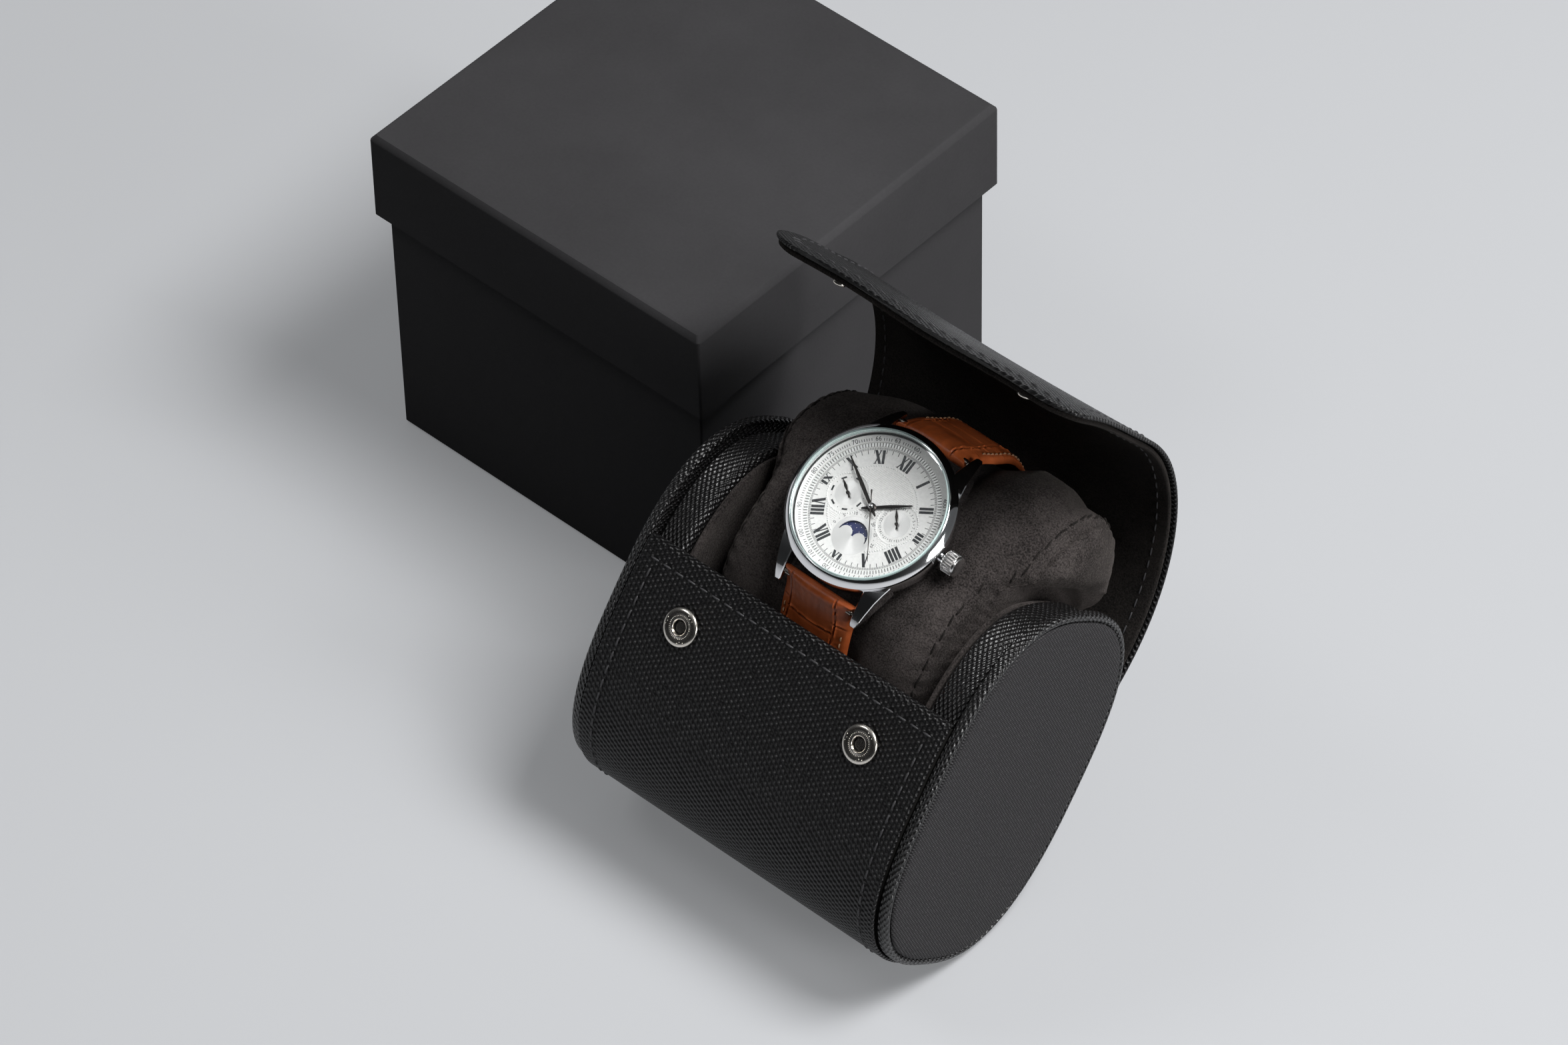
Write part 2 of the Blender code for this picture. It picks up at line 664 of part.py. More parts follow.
def watch_case(mats, watch):
    """Case middle with four lugs and the crown's tube, bored for dial, movement and stem."""
    outer = [(0.0, -CASE_BOTTOM), (CASE_RADIUS - 0.0019, -CASE_BOTTOM),
             (CASE_RADIUS - 0.0004, -CASE_BOTTOM + 0.0011), (CASE_RADIUS, -CASE_BOTTOM + 0.0026),
             (CASE_RADIUS, CASE_TOP), (0.0, CASE_TOP)]
    case = make_object("watch_case", spun("watch_case", outer), mats["steel"], watch)
    for side_x, side_y, corner in ((1, 1, "1"), (-1, 1, "2"), (-1, -1, "3"), (1, -1, "4")):
        lug = add_helper("lug_" + corner, lug_solid(side_x, side_y), watch)
        apply_helper(case, lug, "UNION")
    tube = rod("tube", [(CASE_BORE + GAP, TUBE_RADIUS), (CROWN_START - GAP, TUBE_RADIUS)])
    tube_helper = add_helper("crown_tube", tube, watch)
    tube_helper.location = (0.0, 0.0, -CROWN_DROP)
    apply_helper(case, tube_helper, "UNION")
    shelf = -DIAL_THICKNESS - GAP
    bore = [(0.0, -CASE_BACK_BOTTOM), (CASE_BORE, -CASE_BACK_BOTTOM), (CASE_BORE, shelf),
            (DIAL_BORE, shelf), (DIAL_BORE, BEZEL_TOP), (0.0, BEZEL_TOP)]
    apply_helper(case, add_helper("case_bore", spun("case_bore", bore), watch))
    stem_hole = rod("stem_hole", [(STEM_START, STEM_RADIUS + GAP), (CROWN_START, STEM_RADIUS + GAP)])
    stem_helper = add_helper("case_stem_hole", stem_hole, watch)
    stem_helper.location = (0.0, 0.0, -CROWN_DROP)
    apply_helper(case, stem_helper)
    for side_y, label in ((1, "upper"), (-1, "lower")):
        reach = LUG_INNER + 0.0009
        pin = BAR_PIN + BAR_PIN_GAP
        bar_hole = add_helper("bar_hole_" + label, rod("bar_hole", [(-reach, pin), (reach, pin)]), watch)
        bar_hole.location = (0.0, side_y * BAR_REACH, -BAR_DROP)
        apply_helper(case, bar_hole)


def watch_rings(mats, watch):
    """Bezel, crystal, chapter ring and case back, all turned round the dial's middle."""
    seat = CASE_TOP + GAP
    lip = CRYSTAL_LOW - GAP
    bore = CRYSTAL_RADIUS + GAP
    bezel = [(DIAL_BORE, seat), (CASE_RADIUS, seat), (BEZEL_RADIUS, seat + GAP),
             (BEZEL_RADIUS, seat + 2 * GAP), (bore + GAP, BEZEL_TOP), (bore, BEZEL_TOP),
             (bore, lip), (DIAL_BORE, lip)]
    make_object("watch_bezel", spun("watch_bezel", bezel), mats["steel"], watch)
    crystal = [(0.0, CRYSTAL_LOW), (CRYSTAL_RADIUS, CRYSTAL_LOW),
               (CRYSTAL_RADIUS, CRYSTAL_HIGH - GAP), (CRYSTAL_RADIUS - GAP, CRYSTAL_HIGH),
               (0.0, CRYSTAL_HIGH)]
    make_object("watch_crystal", spun("watch_crystal", crystal), mats["glass"], watch)
    ring_outer = DIAL_BORE - GAP
    chapter = [(CHAPTER_INNER, GAP), (ring_outer, GAP), (ring_outer, lip), (ring_outer - GAP, lip),
               (CHAPTER_INNER, 2 * GAP)]
    make_object("chapter_ring", spun("chapter_ring", chapter), mats["dial"], watch)
    flange = CASE_BOTTOM + GAP
    spigot = CASE_BORE - GAP
    back = [(0.0, -CASE_BACK_BOTTOM), (spigot, -CASE_BACK_BOTTOM), (spigot + 0.0014, -flange),
            (spigot, -flange), (spigot, -CASE_BOTTOM + GAP), (0.0, -CASE_BOTTOM + GAP)]
    make_object("watch_case_back", spun("watch_case_back", back), mats["steel"], watch)


def moon_window_outline():
    """Half round window over two round humps."""
    points = [(MOON_WINDOW * math.cos(HALF * i / 16), MOON_WINDOW * math.sin(HALF * i / 16))
              for i in range(17)]
    for centre in (-MOON_WINDOW / 2, MOON_WINDOW / 2):
        points += [(centre - MOON_HUMP * math.cos(HALF * i / 8), MOON_HUMP * math.sin(HALF * i / 8))
                   for i in range(9)]
    return [(x, y + MOON_Y) for x, y in points]


def watch_dial(mats, watch):
    """Dial with its middle hole and moon window, the moon disc under it and the movement."""
    radius = DIAL_BORE - GAP
    face = [(0.0, -DIAL_THICKNESS), (radius, -DIAL_THICKNESS), (radius, 0.0), (0.0, 0.0)]
    dial = make_object("watch_dial", spun("watch_dial", face), mats["dial"], watch)
    hole = prism("dial_hole", circle(ARBOR_RADIUS + GAP, 16), -MOVEMENT_TOP, MOVEMENT_TOP)
    apply_helper(dial, add_helper("dial_hole", hole, watch))
    window = prism("moon_window", moon_window_outline(), -MOVEMENT_TOP, MOVEMENT_TOP)
    apply_helper(dial, add_helper("moon_window", window, watch))
    moon_top = -DIAL_THICKNESS - GAP
    disc = [(0.0, moon_top - GAP), (MOON_RADIUS, moon_top - GAP), (MOON_RADIUS, moon_top),
            (0.0, moon_top)]
    moon_frame = make_frame("moon_axis", (0.0, MOON_Y, 0.0), None, watch)
    make_object("moon_disc", spun("moon_disc", disc, 24), mats["moon"], moon_frame)
    low = -CASE_BOTTOM + 2 * GAP
    body = [(0.0, low), (MOVEMENT_RADIUS, low), (MOVEMENT_RADIUS, -MOVEMENT_TOP),
            (ARBOR_RADIUS, -MOVEMENT_TOP), (ARBOR_RADIUS, ARBOR_TOP), (0.0, ARBOR_TOP)]
    movement = make_object("watch_movement", spun("watch_movement", body, 36), mats["movement"], watch)
    hole_start = STEM_START - GAP
    stem_hole = rod("hole", [(hole_start, STEM_RADIUS + GAP), (CASE_BORE, STEM_RADIUS + GAP)])
    stem_helper = add_helper("movement_stem_hole", stem_hole, watch)
    stem_helper.location = (0.0, 0.0, -CROWN_DROP)
    apply_helper(movement, stem_helper)


def watch_crown(mats, watch):
    """Fluted crown on its stem; both lie on one axis along X."""
    axis = make_frame("crown_axis", (0.0, 0.0, -CROWN_DROP), None, watch)
    stem = rod("stem", [(STEM_START, STEM_RADIUS), (CROWN_START + STEM_IN_CROWN, STEM_RADIUS)])
    make_object("winding_stem", stem, mats["steel"], axis)
    layers = [(0.0, 0.8, 0.0), (0.1, 1.0, 1.0), (0.82, 1.0, 1.0), (0.92, 0.86, 0.0), (1.0, 0.6, 0.0)]
    rings = []
    for place, scale, fluted in layers:
        ring = []
        for i in range(ROUND_STEPS):
            turn = 2 * HALF * i / ROUND_STEPS
            radius = CROWN_RADIUS * scale - (i % 2) * CROWN_FLUTE * fluted
            x = CROWN_START + CROWN_LENGTH * place
            ring.append((x, radius * math.cos(turn), radius * math.sin(turn)))
        rings.append(ring)
    crown = make_object("crown", lofted("crown", rings), mats["steel"], axis, 20.0)
    end = CROWN_START + STEM_IN_CROWN + GAP
    hole = rod("hole", [(CROWN_START - GAP, STEM_RADIUS + GAP), (end, STEM_RADIUS + GAP)])
    apply_helper(crown, add_helper("crown_hole", hole, axis))


# Hands

def hand_outline(hub, pointer, tail):
    """Outline of a hand along +Y from (distance, half width) points and its round hub."""
    def blade(stops, way):
        out = [(way * width, way * distance) for distance, width in stops]
        back = [(-way * width, way * distance) for distance, width in reversed(stops)]
        return out + back

    def arc(first, last, steps=6):
        turns = [math.radians(first + (last - first) * i / steps) for i in range(1, steps)]
        return [(hub * math.cos(t), hub * math.sin(t)) for t in turns]

    return blade(pointer, 1) + arc(110, 250) + blade(tail, -1) + arc(-70, 70)


def hand(mats, name, frame, outline, height, bored):
    mesh = prism(name, outline, height, height + HAND_THICKNESS)
    obj = make_object(name, mesh, mats["hand"], frame)
    if bored:
        hole = prism("hole", circle(ARBOR_RADIUS + GAP, 16), height - GAP, height + 2 * GAP)
        apply_helper(obj, add_helper(name + "_hole", hole, frame))


def watch_hands(mats, watch):
    """Three hands on the middle arbor and one on each small dial, set to the photo's time."""
    hour_turn = -math.radians(TIME_MINUTES / 2)
    minute_turn = -math.radians(TIME_MINUTES * 6)
    second_turn = -math.radians(SECOND_AT * 6)
    tail = [(0.0012, 0.0004), (0.0024, 0.0002)]
    leaf = [(0.0012, 0.0005), (0.0042, 0.00065), (0.0092, 0.0002), (0.0095, 0.0001)]
    long_leaf = [(0.0012, 0.0005), (0.0058, 0.00065), (0.0134, 0.0002), (0.0138, 0.0001)]
    needle = [(0.0009, 0.0002), (0.0130, 0.0001), (0.0134, 0.00005)]
    needle_tail = [(0.0009, 0.0002), (0.0040, 0.0002)]
    small = [(0.0006, 0.0002), (0.0024, 0.0003), (0.0036, 0.00008)]
    small_tail = [(0.0006, 0.0002), (0.0013, 0.0003)]
    plans = [
        ("hour_hand", 0.0, hour_turn, 0.0012, leaf, tail, 0.0006, True),
        ("minute_hand", 0.0, minute_turn, 0.0012, long_leaf, tail, 0.0011, True),
        ("second_hand", 0.0, second_turn, 0.0009, needle, needle_tail, 0.0017, False),
        ("day_hand", -SUBDIAL_X, math.radians(54.6), 0.0006, small, small_tail, SUBHAND_HEIGHT, False),
        ("date_hand", SUBDIAL_X, math.radians(38.0), 0.0006, small, small_tail, SUBHAND_HEIGHT, False),
    ]
    for name, x, turn, hub, pointer, end, height, bored in plans:
        frame = make_frame(name + "_axis", (x, 0.0, 0.0), Matrix.Rotation(turn, 4, "Z"), watch)
        hand(mats, name, frame, hand_outline(hub, pointer, end), height, bored)


def spring_bars(mats, watch):
    reach = LUG_INNER + 0.0006
    shoulder = LUG_INNER - 2 * GAP
    layers = [(-reach, BAR_PIN), (-shoulder, BAR_PIN), (-shoulder, BAR_RADIUS),
              (shoulder, BAR_RADIUS), (shoulder, BAR_PIN), (reach, BAR_PIN)]
    for side_y, label in ((1, "upper"), (-1, "lower")):
        name = "spring_bar_" + label
        bar = make_object(name, rod(name, layers), mats["steel"], watch)
        bar.location = (0.0, side_y * BAR_REACH, -BAR_DROP)


# Strap

def lap_point(degrees, rise):
    """Point above the cushion's pressed-in middle, as (Y, Z), turned from its top."""
    length = CUSHION_LONG - CUSHION_WAIST + rise
    height = CUSHION_THICK - CUSHION_WAIST + rise
    return oval_point(math.radians(degrees), length, height, CUSHION_POWER)


def lap_normal(degrees):
    length = CUSHION_LONG - CUSHION_WAIST
    height = CUSHION_THICK - CUSHION_WAIST
    return oval_normal(lap_point(degrees, 0.0), length, height, CUSHION_POWER)


def ramp(value, start, end):
    share = min(1.0, max(0.0, (value - start) / (end - start)))
    return share * share * (3 - 2 * share)


def bar_point(side):
    return Vector((DIAL_Y + side * BAR_REACH, DIAL_Z - BAR_DROP))


def strap_line(side, end_turn, rise_at):
    """Middle line of a strap half, from its spring bar round the cushion."""
    join_turn = STRAP_JOIN if side > 0 else 360 - STRAP_JOIN
    start, join = bar_point(side), lap_point(join_turn, rise_at(join_turn))
    reach = (join - start).length
    ahead = lap_point(join_turn + side * 2, rise_at(join_turn + side * 2))
    start_pull = STRAP_PULLS[side] * reach
    join_pull = (ahead - join).normalized() * reach
    points = []
    for i in range(8):
        u = i / 8
        points.append(start * (2 * u ** 3 - 3 * u ** 2 + 1) + start_pull * (u ** 3 - 2 * u ** 2 + u)
                      + join * (3 * u ** 2 - 2 * u ** 3) + join_pull * (u ** 3 - u ** 2))
    steps = round(abs(end_turn - join_turn) / STRAP_STEP)
    for i in range(steps + 1):
        turn = join_turn + (end_turn - join_turn) * i / steps
        points.append(lap_point(turn, rise_at(turn)))
    return points


def line_normals(points, side):
    normals = []
    for i in range(len(points)):
        along = points[min(i + 1, len(points) - 1)] - points[max(i - 1, 0)]
        normals.append(Vector((-along.y, along.x)).normalized() * side)
    return normals


def line_distances(points):
    distances = [0.0]
    for a, b in zip(points, points[1:]):
        distances.append(distances[-1] + (b - a).length)
    return distances


def strap_half(name, mats, frame, side, points, end_thickness):
    """Strap half through its middle line, thick at the bar and tapering in width."""
    normals = line_normals(points, side)
    distances = line_distances(points)
    length = distances[-1]
    tip = 0.009
    pairs = []
    for point, normal, distance in zip(points, normals, distances):
        thick = STRAP_HORN + (STRAP_THICKNESS - STRAP_HORN) * ramp(distance, 0.001, 0.009)
        if end_thickness:
            thick += (end_thickness - STRAP_THICKNESS) * ramp(distance, length - 0.004, length)
        width = STRAP_WIDTH + (STRAP_END_WIDTH - STRAP_WIDTH) * distance / length
        if not end_thickness:
            share = max(0.0, (distance - length + tip) / tip)
            width *= math.sqrt(1 - 0.97 * share * share)
        pairs.append((point + normal * thick / 2, point - normal * thick / 2, width / 2))
    horn = round_end(points[0], normals[0], (points[0] - points[1]).normalized(),
                     STRAP_WIDTH / 2, STRAP_HORN)
    pairs = list(reversed(horn)) + pairs
    if end_thickness:
        pairs += round_end(points[-1], normals[-1], (points[-1] - points[-2]).normalized(),
                           STRAP_END_WIDTH / 2, end_thickness)
    strap = make_object(name, strip(name, pairs), mats["strap"], frame)
    radius = BAR_RADIUS + GAP
    hole = add_helper(name + "_bar_hole", rod("hole", [(-STRAP_WIDTH, radius), (STRAP_WIDTH, radius)]),
                      frame)
    hole.location = (0.0, *bar_point(side))
    apply_helper(strap, hole)
    return strap


def long_rise(turn):
    return STRAP_RISE + (TAIL_RISE - STRAP_RISE) * ramp(turn, *TAIL_RAMP)


def short_rise(turn):
    return STRAP_RISE + (SHORT_RISE - STRAP_RISE) * ramp(-turn, -SHORT_RAMP[0], -SHORT_RAMP[1])


def strap_and_buckle(mats, pillow):
    """Long half round the cushion, short half with the buckle, both passing two keepers."""
    long_line = strap_line(1, LONG_END, long_rise)
    short_line = strap_line(-1, SHORT_END, short_rise)
    long_half = strap_half("strap_long", mats, pillow, 1, long_line, 0.0)
    short_half = strap_half("strap_short", mats, pillow, -1, short_line, LOOP_THICKNESS)
    bar = lap_point(SHORT_END, SHORT_RISE)
    bow = lap_point(BOW_TURN, BOW_RISE) - bar
    turn = Matrix.Rotation(math.atan2(bow.y, bow.x) + HALF, 4, "X")
    axis = make_frame("buckle_axis", (0.0, bar.x, bar.y), turn, pillow)
    buckle(mats, axis, bow.length, short_half, long_half)
    for name, degrees in KEEPER_TURNS.items():
        keeper(mats, name, pillow, degrees)


def buckle(mats, axis, length, short_half, long_half):
    """Frame, bar and tongue; the axis frame's -Y points to the bow and its Z outwards."""
    end = length + BUCKLE_WIRE
    inside = length - BUCKLE_WIRE
    heel = 2 * BUCKLE_WIRE
    outline = [(-BUCKLE_OUTER_HALF, heel), (-BUCKLE_OUTER_HALF, -end), (BUCKLE_OUTER_HALF, -end),
               (BUCKLE_OUTER_HALF, heel), (BUCKLE_INNER_HALF, heel), (BUCKLE_INNER_HALF, -inside),
               (-BUCKLE_INNER_HALF, -inside), (-BUCKLE_INNER_HALF, heel)]
    frame = make_object("buckle_frame", prism("frame", outline, -BUCKLE_WIRE, BUCKLE_WIRE),
                        mats["steel"], axis)
    reach = BUCKLE_OUTER_HALF - GAP
    shoulder = BUCKLE_INNER_HALF - GAP
    layers = [(-reach, BUCKLE_PIN), (-shoulder, BUCKLE_PIN), (-shoulder, BUCKLE_BAR),
              (shoulder, BUCKLE_BAR), (shoulder, BUCKLE_PIN), (reach, BUCKLE_PIN)]
    make_object("buckle_bar", rod("bar", layers, 12), mats["steel"], axis)
    pin_hole = BUCKLE_PIN + BUCKLE_HOLE_GAP
    hole = rod("hole", [(-STRAP_WIDTH, pin_hole), (STRAP_WIDTH, pin_hole)], 12)
    apply_helper(frame, add_helper("buckle_bar_hole", hole, axis))
    bar_hole = BUCKLE_BAR + 2 * BUCKLE_HOLE_GAP
    loop_hole = rod("hole", [(-STRAP_WIDTH, bar_hole), (STRAP_WIDTH, bar_hole)], 12)
    apply_helper(short_half, add_helper("loop_bar_hole", loop_hole, axis))
    slot_half = TONGUE_HALF + GAP
    notch = box("notch", (-slot_half, -0.0030, -0.0030), (slot_half, 0.0018, 0.0030))
    apply_helper(short_half, add_helper("tongue_notch", notch, axis))
    slot = box("slot", (-slot_half, -inside + 0.0008, -0.0030), (slot_half, -0.0002, 0.0060))
    apply_helper(long_half, add_helper("tongue_slot", slot, axis))
    tongue(mats, axis, length)


def tongue(mats, axis, length):
    """Tongue: a strip wrapped round the bar that reaches over the bow."""
    top = BUCKLE_WIRE + GAP + TONGUE_THICKNESS / 2
    line = []
    for degrees in range(50, 271, 22):
        turn = math.radians(degrees)
        line.append(Vector((-TONGUE_LOOP * math.cos(turn), -TONGUE_LOOP * math.sin(turn))))
    line += [Vector((-length / 2, top)), Vector((-length - 0.0012, top))]
    normals = line_normals(line, 1)
    half = TONGUE_THICKNESS / 2
    pairs = [(p + n * half, p - n * half, TONGUE_HALF) for p, n in zip(line, normals)]
    make_object("buckle_tongue", strip("buckle_tongue", pairs), mats["steel"], axis)


def keeper(mats, name, pillow, degrees):
    """Flat loop of leather round both strap layers."""
    half = STRAP_END_WIDTH / 2 + 0.0006
    low = SHORT_RISE - STRAP_THICKNESS / 2 - GAP
    high = TAIL_RISE + STRAP_THICKNESS / 2 + GAP
    point, normal = lap_point(degrees, 0.0), lap_normal(degrees)
    turn = Matrix.Rotation(math.atan2(-normal.x, normal.y), 4, "X")
    frame = make_frame(name + "_axis", (0.0, point.x, point.y), turn, pillow)
    rings = []
    for grow, y in ((0.0, -0.5), (0.0, 0.5), (KEEPER_BOARD, 0.5), (KEEPER_BOARD, -0.5)):
        x, bottom, top = half + grow, low - grow, high + grow
        rings.append([(-x, y * KEEPER_WIDTH, bottom), (x, y * KEEPER_WIDTH, bottom),
                      (x, y * KEEPER_WIDTH, top), (-x, y * KEEPER_WIDTH, top)])
    make_object(name, lofted(name, rings, closed=True), mats["strap"], frame)


def main():
    clear_scene()
    mats = make_materials()
    carton(mats)

    roll_z = oval_reach(ROLL_LEAN, COVER_SHORT, COVER_LONG, OVAL_POWER)
    lean = Matrix.Rotation(-ROLL_LEAN, 4, "X")
    roll = make_frame("roll_frame", (ROLL_X, ROLL_Y, roll_z), lean)
    cover_layers = roll_cover(mats, roll)
    roll_end(mats, roll, -1, "left")
    roll_end(mats, roll, 1, "right")
    snaps(mats, roll, cover_layers, *flap(mats, roll))

    pillow_turn = Matrix.Rotation(CUSHION_PITCH, 4, "X") @ Matrix.Rotation(CUSHION_LEAN, 4, "Y")
    pillow = make_frame("cushion_frame", (CUSHION_X, CUSHION_Y, CUSHION_Z), pillow_turn)
    cushion(mats, pillow)
    watch = make_frame("watch_frame", (0.0, DIAL_Y, DIAL_Z), None, pillow)
    watch_case(mats, watch)
    watch_rings(mats, watch)
    watch_dial(mats, watch)
    watch_crown(mats, watch)
    watch_hands(mats, watch)
    spring_bars(mats, watch)
    strap_and_buckle(mats, pillow)


main()
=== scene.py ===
"""Looks of the watch gift box: carton, open watch roll and dress watch, in the CAD's frame (metres, +Z up)."""

import math

import bmesh
import bpy
import numpy as np
from mathutils import Matrix, Vector, noise
from mathutils.geometry import tessellate_polygon


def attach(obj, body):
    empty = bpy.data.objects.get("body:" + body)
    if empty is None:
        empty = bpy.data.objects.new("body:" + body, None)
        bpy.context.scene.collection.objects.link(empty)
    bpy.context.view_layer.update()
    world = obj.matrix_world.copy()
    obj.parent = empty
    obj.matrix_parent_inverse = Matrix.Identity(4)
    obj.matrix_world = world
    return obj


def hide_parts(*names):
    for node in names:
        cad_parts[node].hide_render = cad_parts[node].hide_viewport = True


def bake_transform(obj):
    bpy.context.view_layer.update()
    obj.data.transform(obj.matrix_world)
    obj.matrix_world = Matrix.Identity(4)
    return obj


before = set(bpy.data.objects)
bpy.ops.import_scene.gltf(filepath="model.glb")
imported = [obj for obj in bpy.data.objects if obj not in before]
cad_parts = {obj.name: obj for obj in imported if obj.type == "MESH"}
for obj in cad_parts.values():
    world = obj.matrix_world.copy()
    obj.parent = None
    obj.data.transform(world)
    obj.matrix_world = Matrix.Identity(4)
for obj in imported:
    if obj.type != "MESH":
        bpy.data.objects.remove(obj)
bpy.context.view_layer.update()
PI = math.pi

# Sizes repeated from the CAD
CARTON_SIDE = 0.105
CARTON_HEIGHT = 0.096
BOARD = 0.0020
LID_SKIRT = 0.026
ROLL_X, ROLL_Y = 0.1179, -0.0760
ROLL_LEAN = math.radians(38.3)
SHORT, LONG, POWER = 0.0334, 0.0462, 2.64
HALF_WIDTH = 0.045
FIRST, LAST = math.radians(76.0), math.radians(284.0)
FLAP_LENGTH = 0.131
FLAP_BEND = 0.58 * FLAP_LENGTH
HEADINGS = [(0.0, 31.0), (0.03799, 70.0), (FLAP_BEND, 107.5), (0.0900, 126.0), (FLAP_LENGTH, 145.0)]
FLAP_CORNER = 0.009
CUSHION_X, CUSHION_Y, CUSHION_Z = ROLL_X - 0.0008, -0.0554, 0.0688
CUSHION_PITCH, CUSHION_LEAN = math.radians(24.0), math.radians(3.5)
C_LONG, C_THICK, C_POWER = 0.0352, 0.0262, 2.3
C_TOP = C_THICK - 0.0018
WAIST, WAIST_HALF = 0.0030, 0.0109
WAIST_LONG, WAIST_THICK = C_LONG - WAIST, C_THICK - WAIST
DIAL_Y, DIAL_Z = 0.00065, 0.0319
SEAM_X = 0.0302
CUSHION_END = 0.0330
SUB_X, SUB_R, SUB_DEEP, MOON_Y = 0.0071, 0.0047, 0.00012, -0.0077
INK = 0.00002
TIME_MINUTES, SECOND_AT = 110.3, 24.2


def reach(angle, short, long, power):
    share = power / (power - 1)
    return (abs(short * math.sin(angle)) ** share + abs(long * math.cos(angle)) ** share) ** (1 / share)


ROLL = (Matrix.Translation((ROLL_X, ROLL_Y, reach(ROLL_LEAN, SHORT, LONG, POWER)))
        @ Matrix.Rotation(-ROLL_LEAN, 4, "X"))
PILLOW = (Matrix.Translation((CUSHION_X, CUSHION_Y, CUSHION_Z)) @ Matrix.Rotation(CUSHION_PITCH, 4, "X")
          @ Matrix.Rotation(CUSHION_LEAN, 4, "Y"))
WATCH = PILLOW @ Matrix.Translation((0.0, DIAL_Y, DIAL_Z))


# Mesh helpers

def new_object(name, mesh, mat, body=None, place=None, replaces=(), slot=None, sharp=40.0):
    obj = bpy.data.objects.new(name, mesh)
    bpy.context.scene.collection.objects.link(obj)
    if mat is not None:
        mesh.materials.append(mat)
    mesh.shade_smooth()
    mesh.set_sharp_from_angle(angle=math.radians(sharp))
    if place is not None:
        obj.matrix_world = place
    if body:
        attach(obj, body)
    if replaces:
        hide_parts(*replaces)
    return obj


def mesh_from(name, verts, faces, uvs=None):
    mesh = bpy.data.meshes.new(name)
    mesh.from_pydata([tuple(v) for v in verts], [], faces)
    if uvs is not None:
        layer = mesh.uv_layers.new(name="UVMap")
        layer.data.foreach_set("uv", np.array(uvs, dtype=np.float32).ravel())
    mesh.update()
    return mesh


def outward(mesh):
    bm = bmesh.new()
    bm.from_mesh(mesh)
    bmesh.ops.recalc_face_normals(bm, faces=bm.faces)
    bm.to_mesh(mesh)
    bm.free()
    return mesh


def loft(name, rings, us, vs, closed=False):
    """Closed solid through rings of points; us and vs are the texture places in metres."""
    count = len(rings[0])
    verts = [p for ring in rings for p in ring]
    faces, uvs = [], []
    rows = list(range(len(rings) - 1))
    pairs = [(r, r + 1) for r in rows]
    if closed:
        pairs.append((len(rings) - 1, 0))
    for a, b in pairs:
        for i in range(count):
            j = (i + 1) % count
            faces.append((a * count + i, a * count + j, b * count + j, b * count + i))
            ua, ub = us[a], us[b]
            uvs += [(ua[i], vs[a]), (ua[i + 1], vs[a]), (ub[i + 1], vs[b]), (ub[i], vs[b])]
    if not closed:
        for a in (0, len(rings) - 1):
            faces.append(tuple(a * count + i for i in range(count)))
            uvs += [(us[a][i], vs[a]) for i in range(count)]
    return outward(mesh_from(name, verts, faces, uvs))


def along(points):
    """Distances along a closed ring of points, ending with the whole way round."""
    total, out = 0.0, [0.0]
    for a, b in zip(points, list(points[1:]) + [points[0]]):
        total += (Vector(b) - Vector(a)).length
        out.append(total)
    return out


def spun(name, profile, steps=128):
    """Solid turned round Z from a closed outline of (radius, height)."""
    count = len(profile)
    turns = [2 * PI * i / steps for i in range(steps + 1)]
    verts = [(r * math.cos(t), r * math.sin(t), z) for t in turns[:-1] for r, z in profile]
    faces, uvs = [], []
    lengths = along([(r, z, 0.0) for r, z in profile])
    for a in range(steps):
        b = (a + 1) % steps
        for i in range(count):
            j = (i + 1) % count
            ra, rb = profile[i][0], profile[j][0]
            if ra < 1e-7 and rb < 1e-7:
                continue
            faces.append((a * count + i, a * count + j, b * count + j, b * count + i))
            uvs += [(turns[a] * ra, lengths[i]), (turns[a] * rb, lengths[i + 1]),
                    (turns[a + 1] * rb, lengths[i + 1]), (turns[a + 1] * ra, lengths[i])]
    mesh = mesh_from(name, verts, faces, uvs)
    bm = bmesh.new()
    bm.from_mesh(mesh)
    bmesh.ops.remove_doubles(bm, verts=bm.verts, dist=1e-7)
    bmesh.ops.dissolve_degenerate(bm, edges=bm.edges, dist=1e-8)
    bmesh.ops.recalc_face_normals(bm, faces=bm.faces)
    bm.to_mesh(mesh)
    bm.free()
    return mesh


def join(name, meshes):
    """One mesh from several."""
    bm = bmesh.new()
    for mesh in meshes:
        bm.from_mesh(mesh)
    out = bpy.data.meshes.new(name)
    bm.to_mesh(out)
    bm.free()
    return out


def slab(name, outline, low, high, edge=0.0):
    """Solid with a flat outline from low to high, its upper rim drawn in by edge."""
    n = len(outline)
    cx = sum(p[0] for p in outline) / n
    cy = sum(p[1] for p in outline) / n
    layers = [(low, 0.0), (high - edge, 0.0)]
    if edge > 0:
        layers.append((high, edge))
    rings = []
    for z, inset in layers:
        ring = []
        for i, (x, y) in enumerate(outline):
            if inset:
                ax, ay = outline[i - 1]
                bx, by = outline[(i + 1) % n]
                dx, dy = bx - ax, by - ay
                size = math.hypot(dx, dy) or 1.0
                nx, ny = -dy / size, dx / size
                if nx * (cx - x) + ny * (cy - y) < 0:
                    nx, ny = -nx, -ny
                x, y = x + nx * inset, y + ny * inset
            ring.append((x, y, z))
        rings.append(ring)
    us = [along(r) for r in rings]
    return loft(name, rings, us, [z for z, _ in layers])


def circle(radius, steps, centre=(0.0, 0.0)):
    return [(centre[0] + radius * math.cos(2 * PI * i / steps),
             centre[1] + radius * math.sin(2 * PI * i / steps)) for i in range(steps)]


# Materials

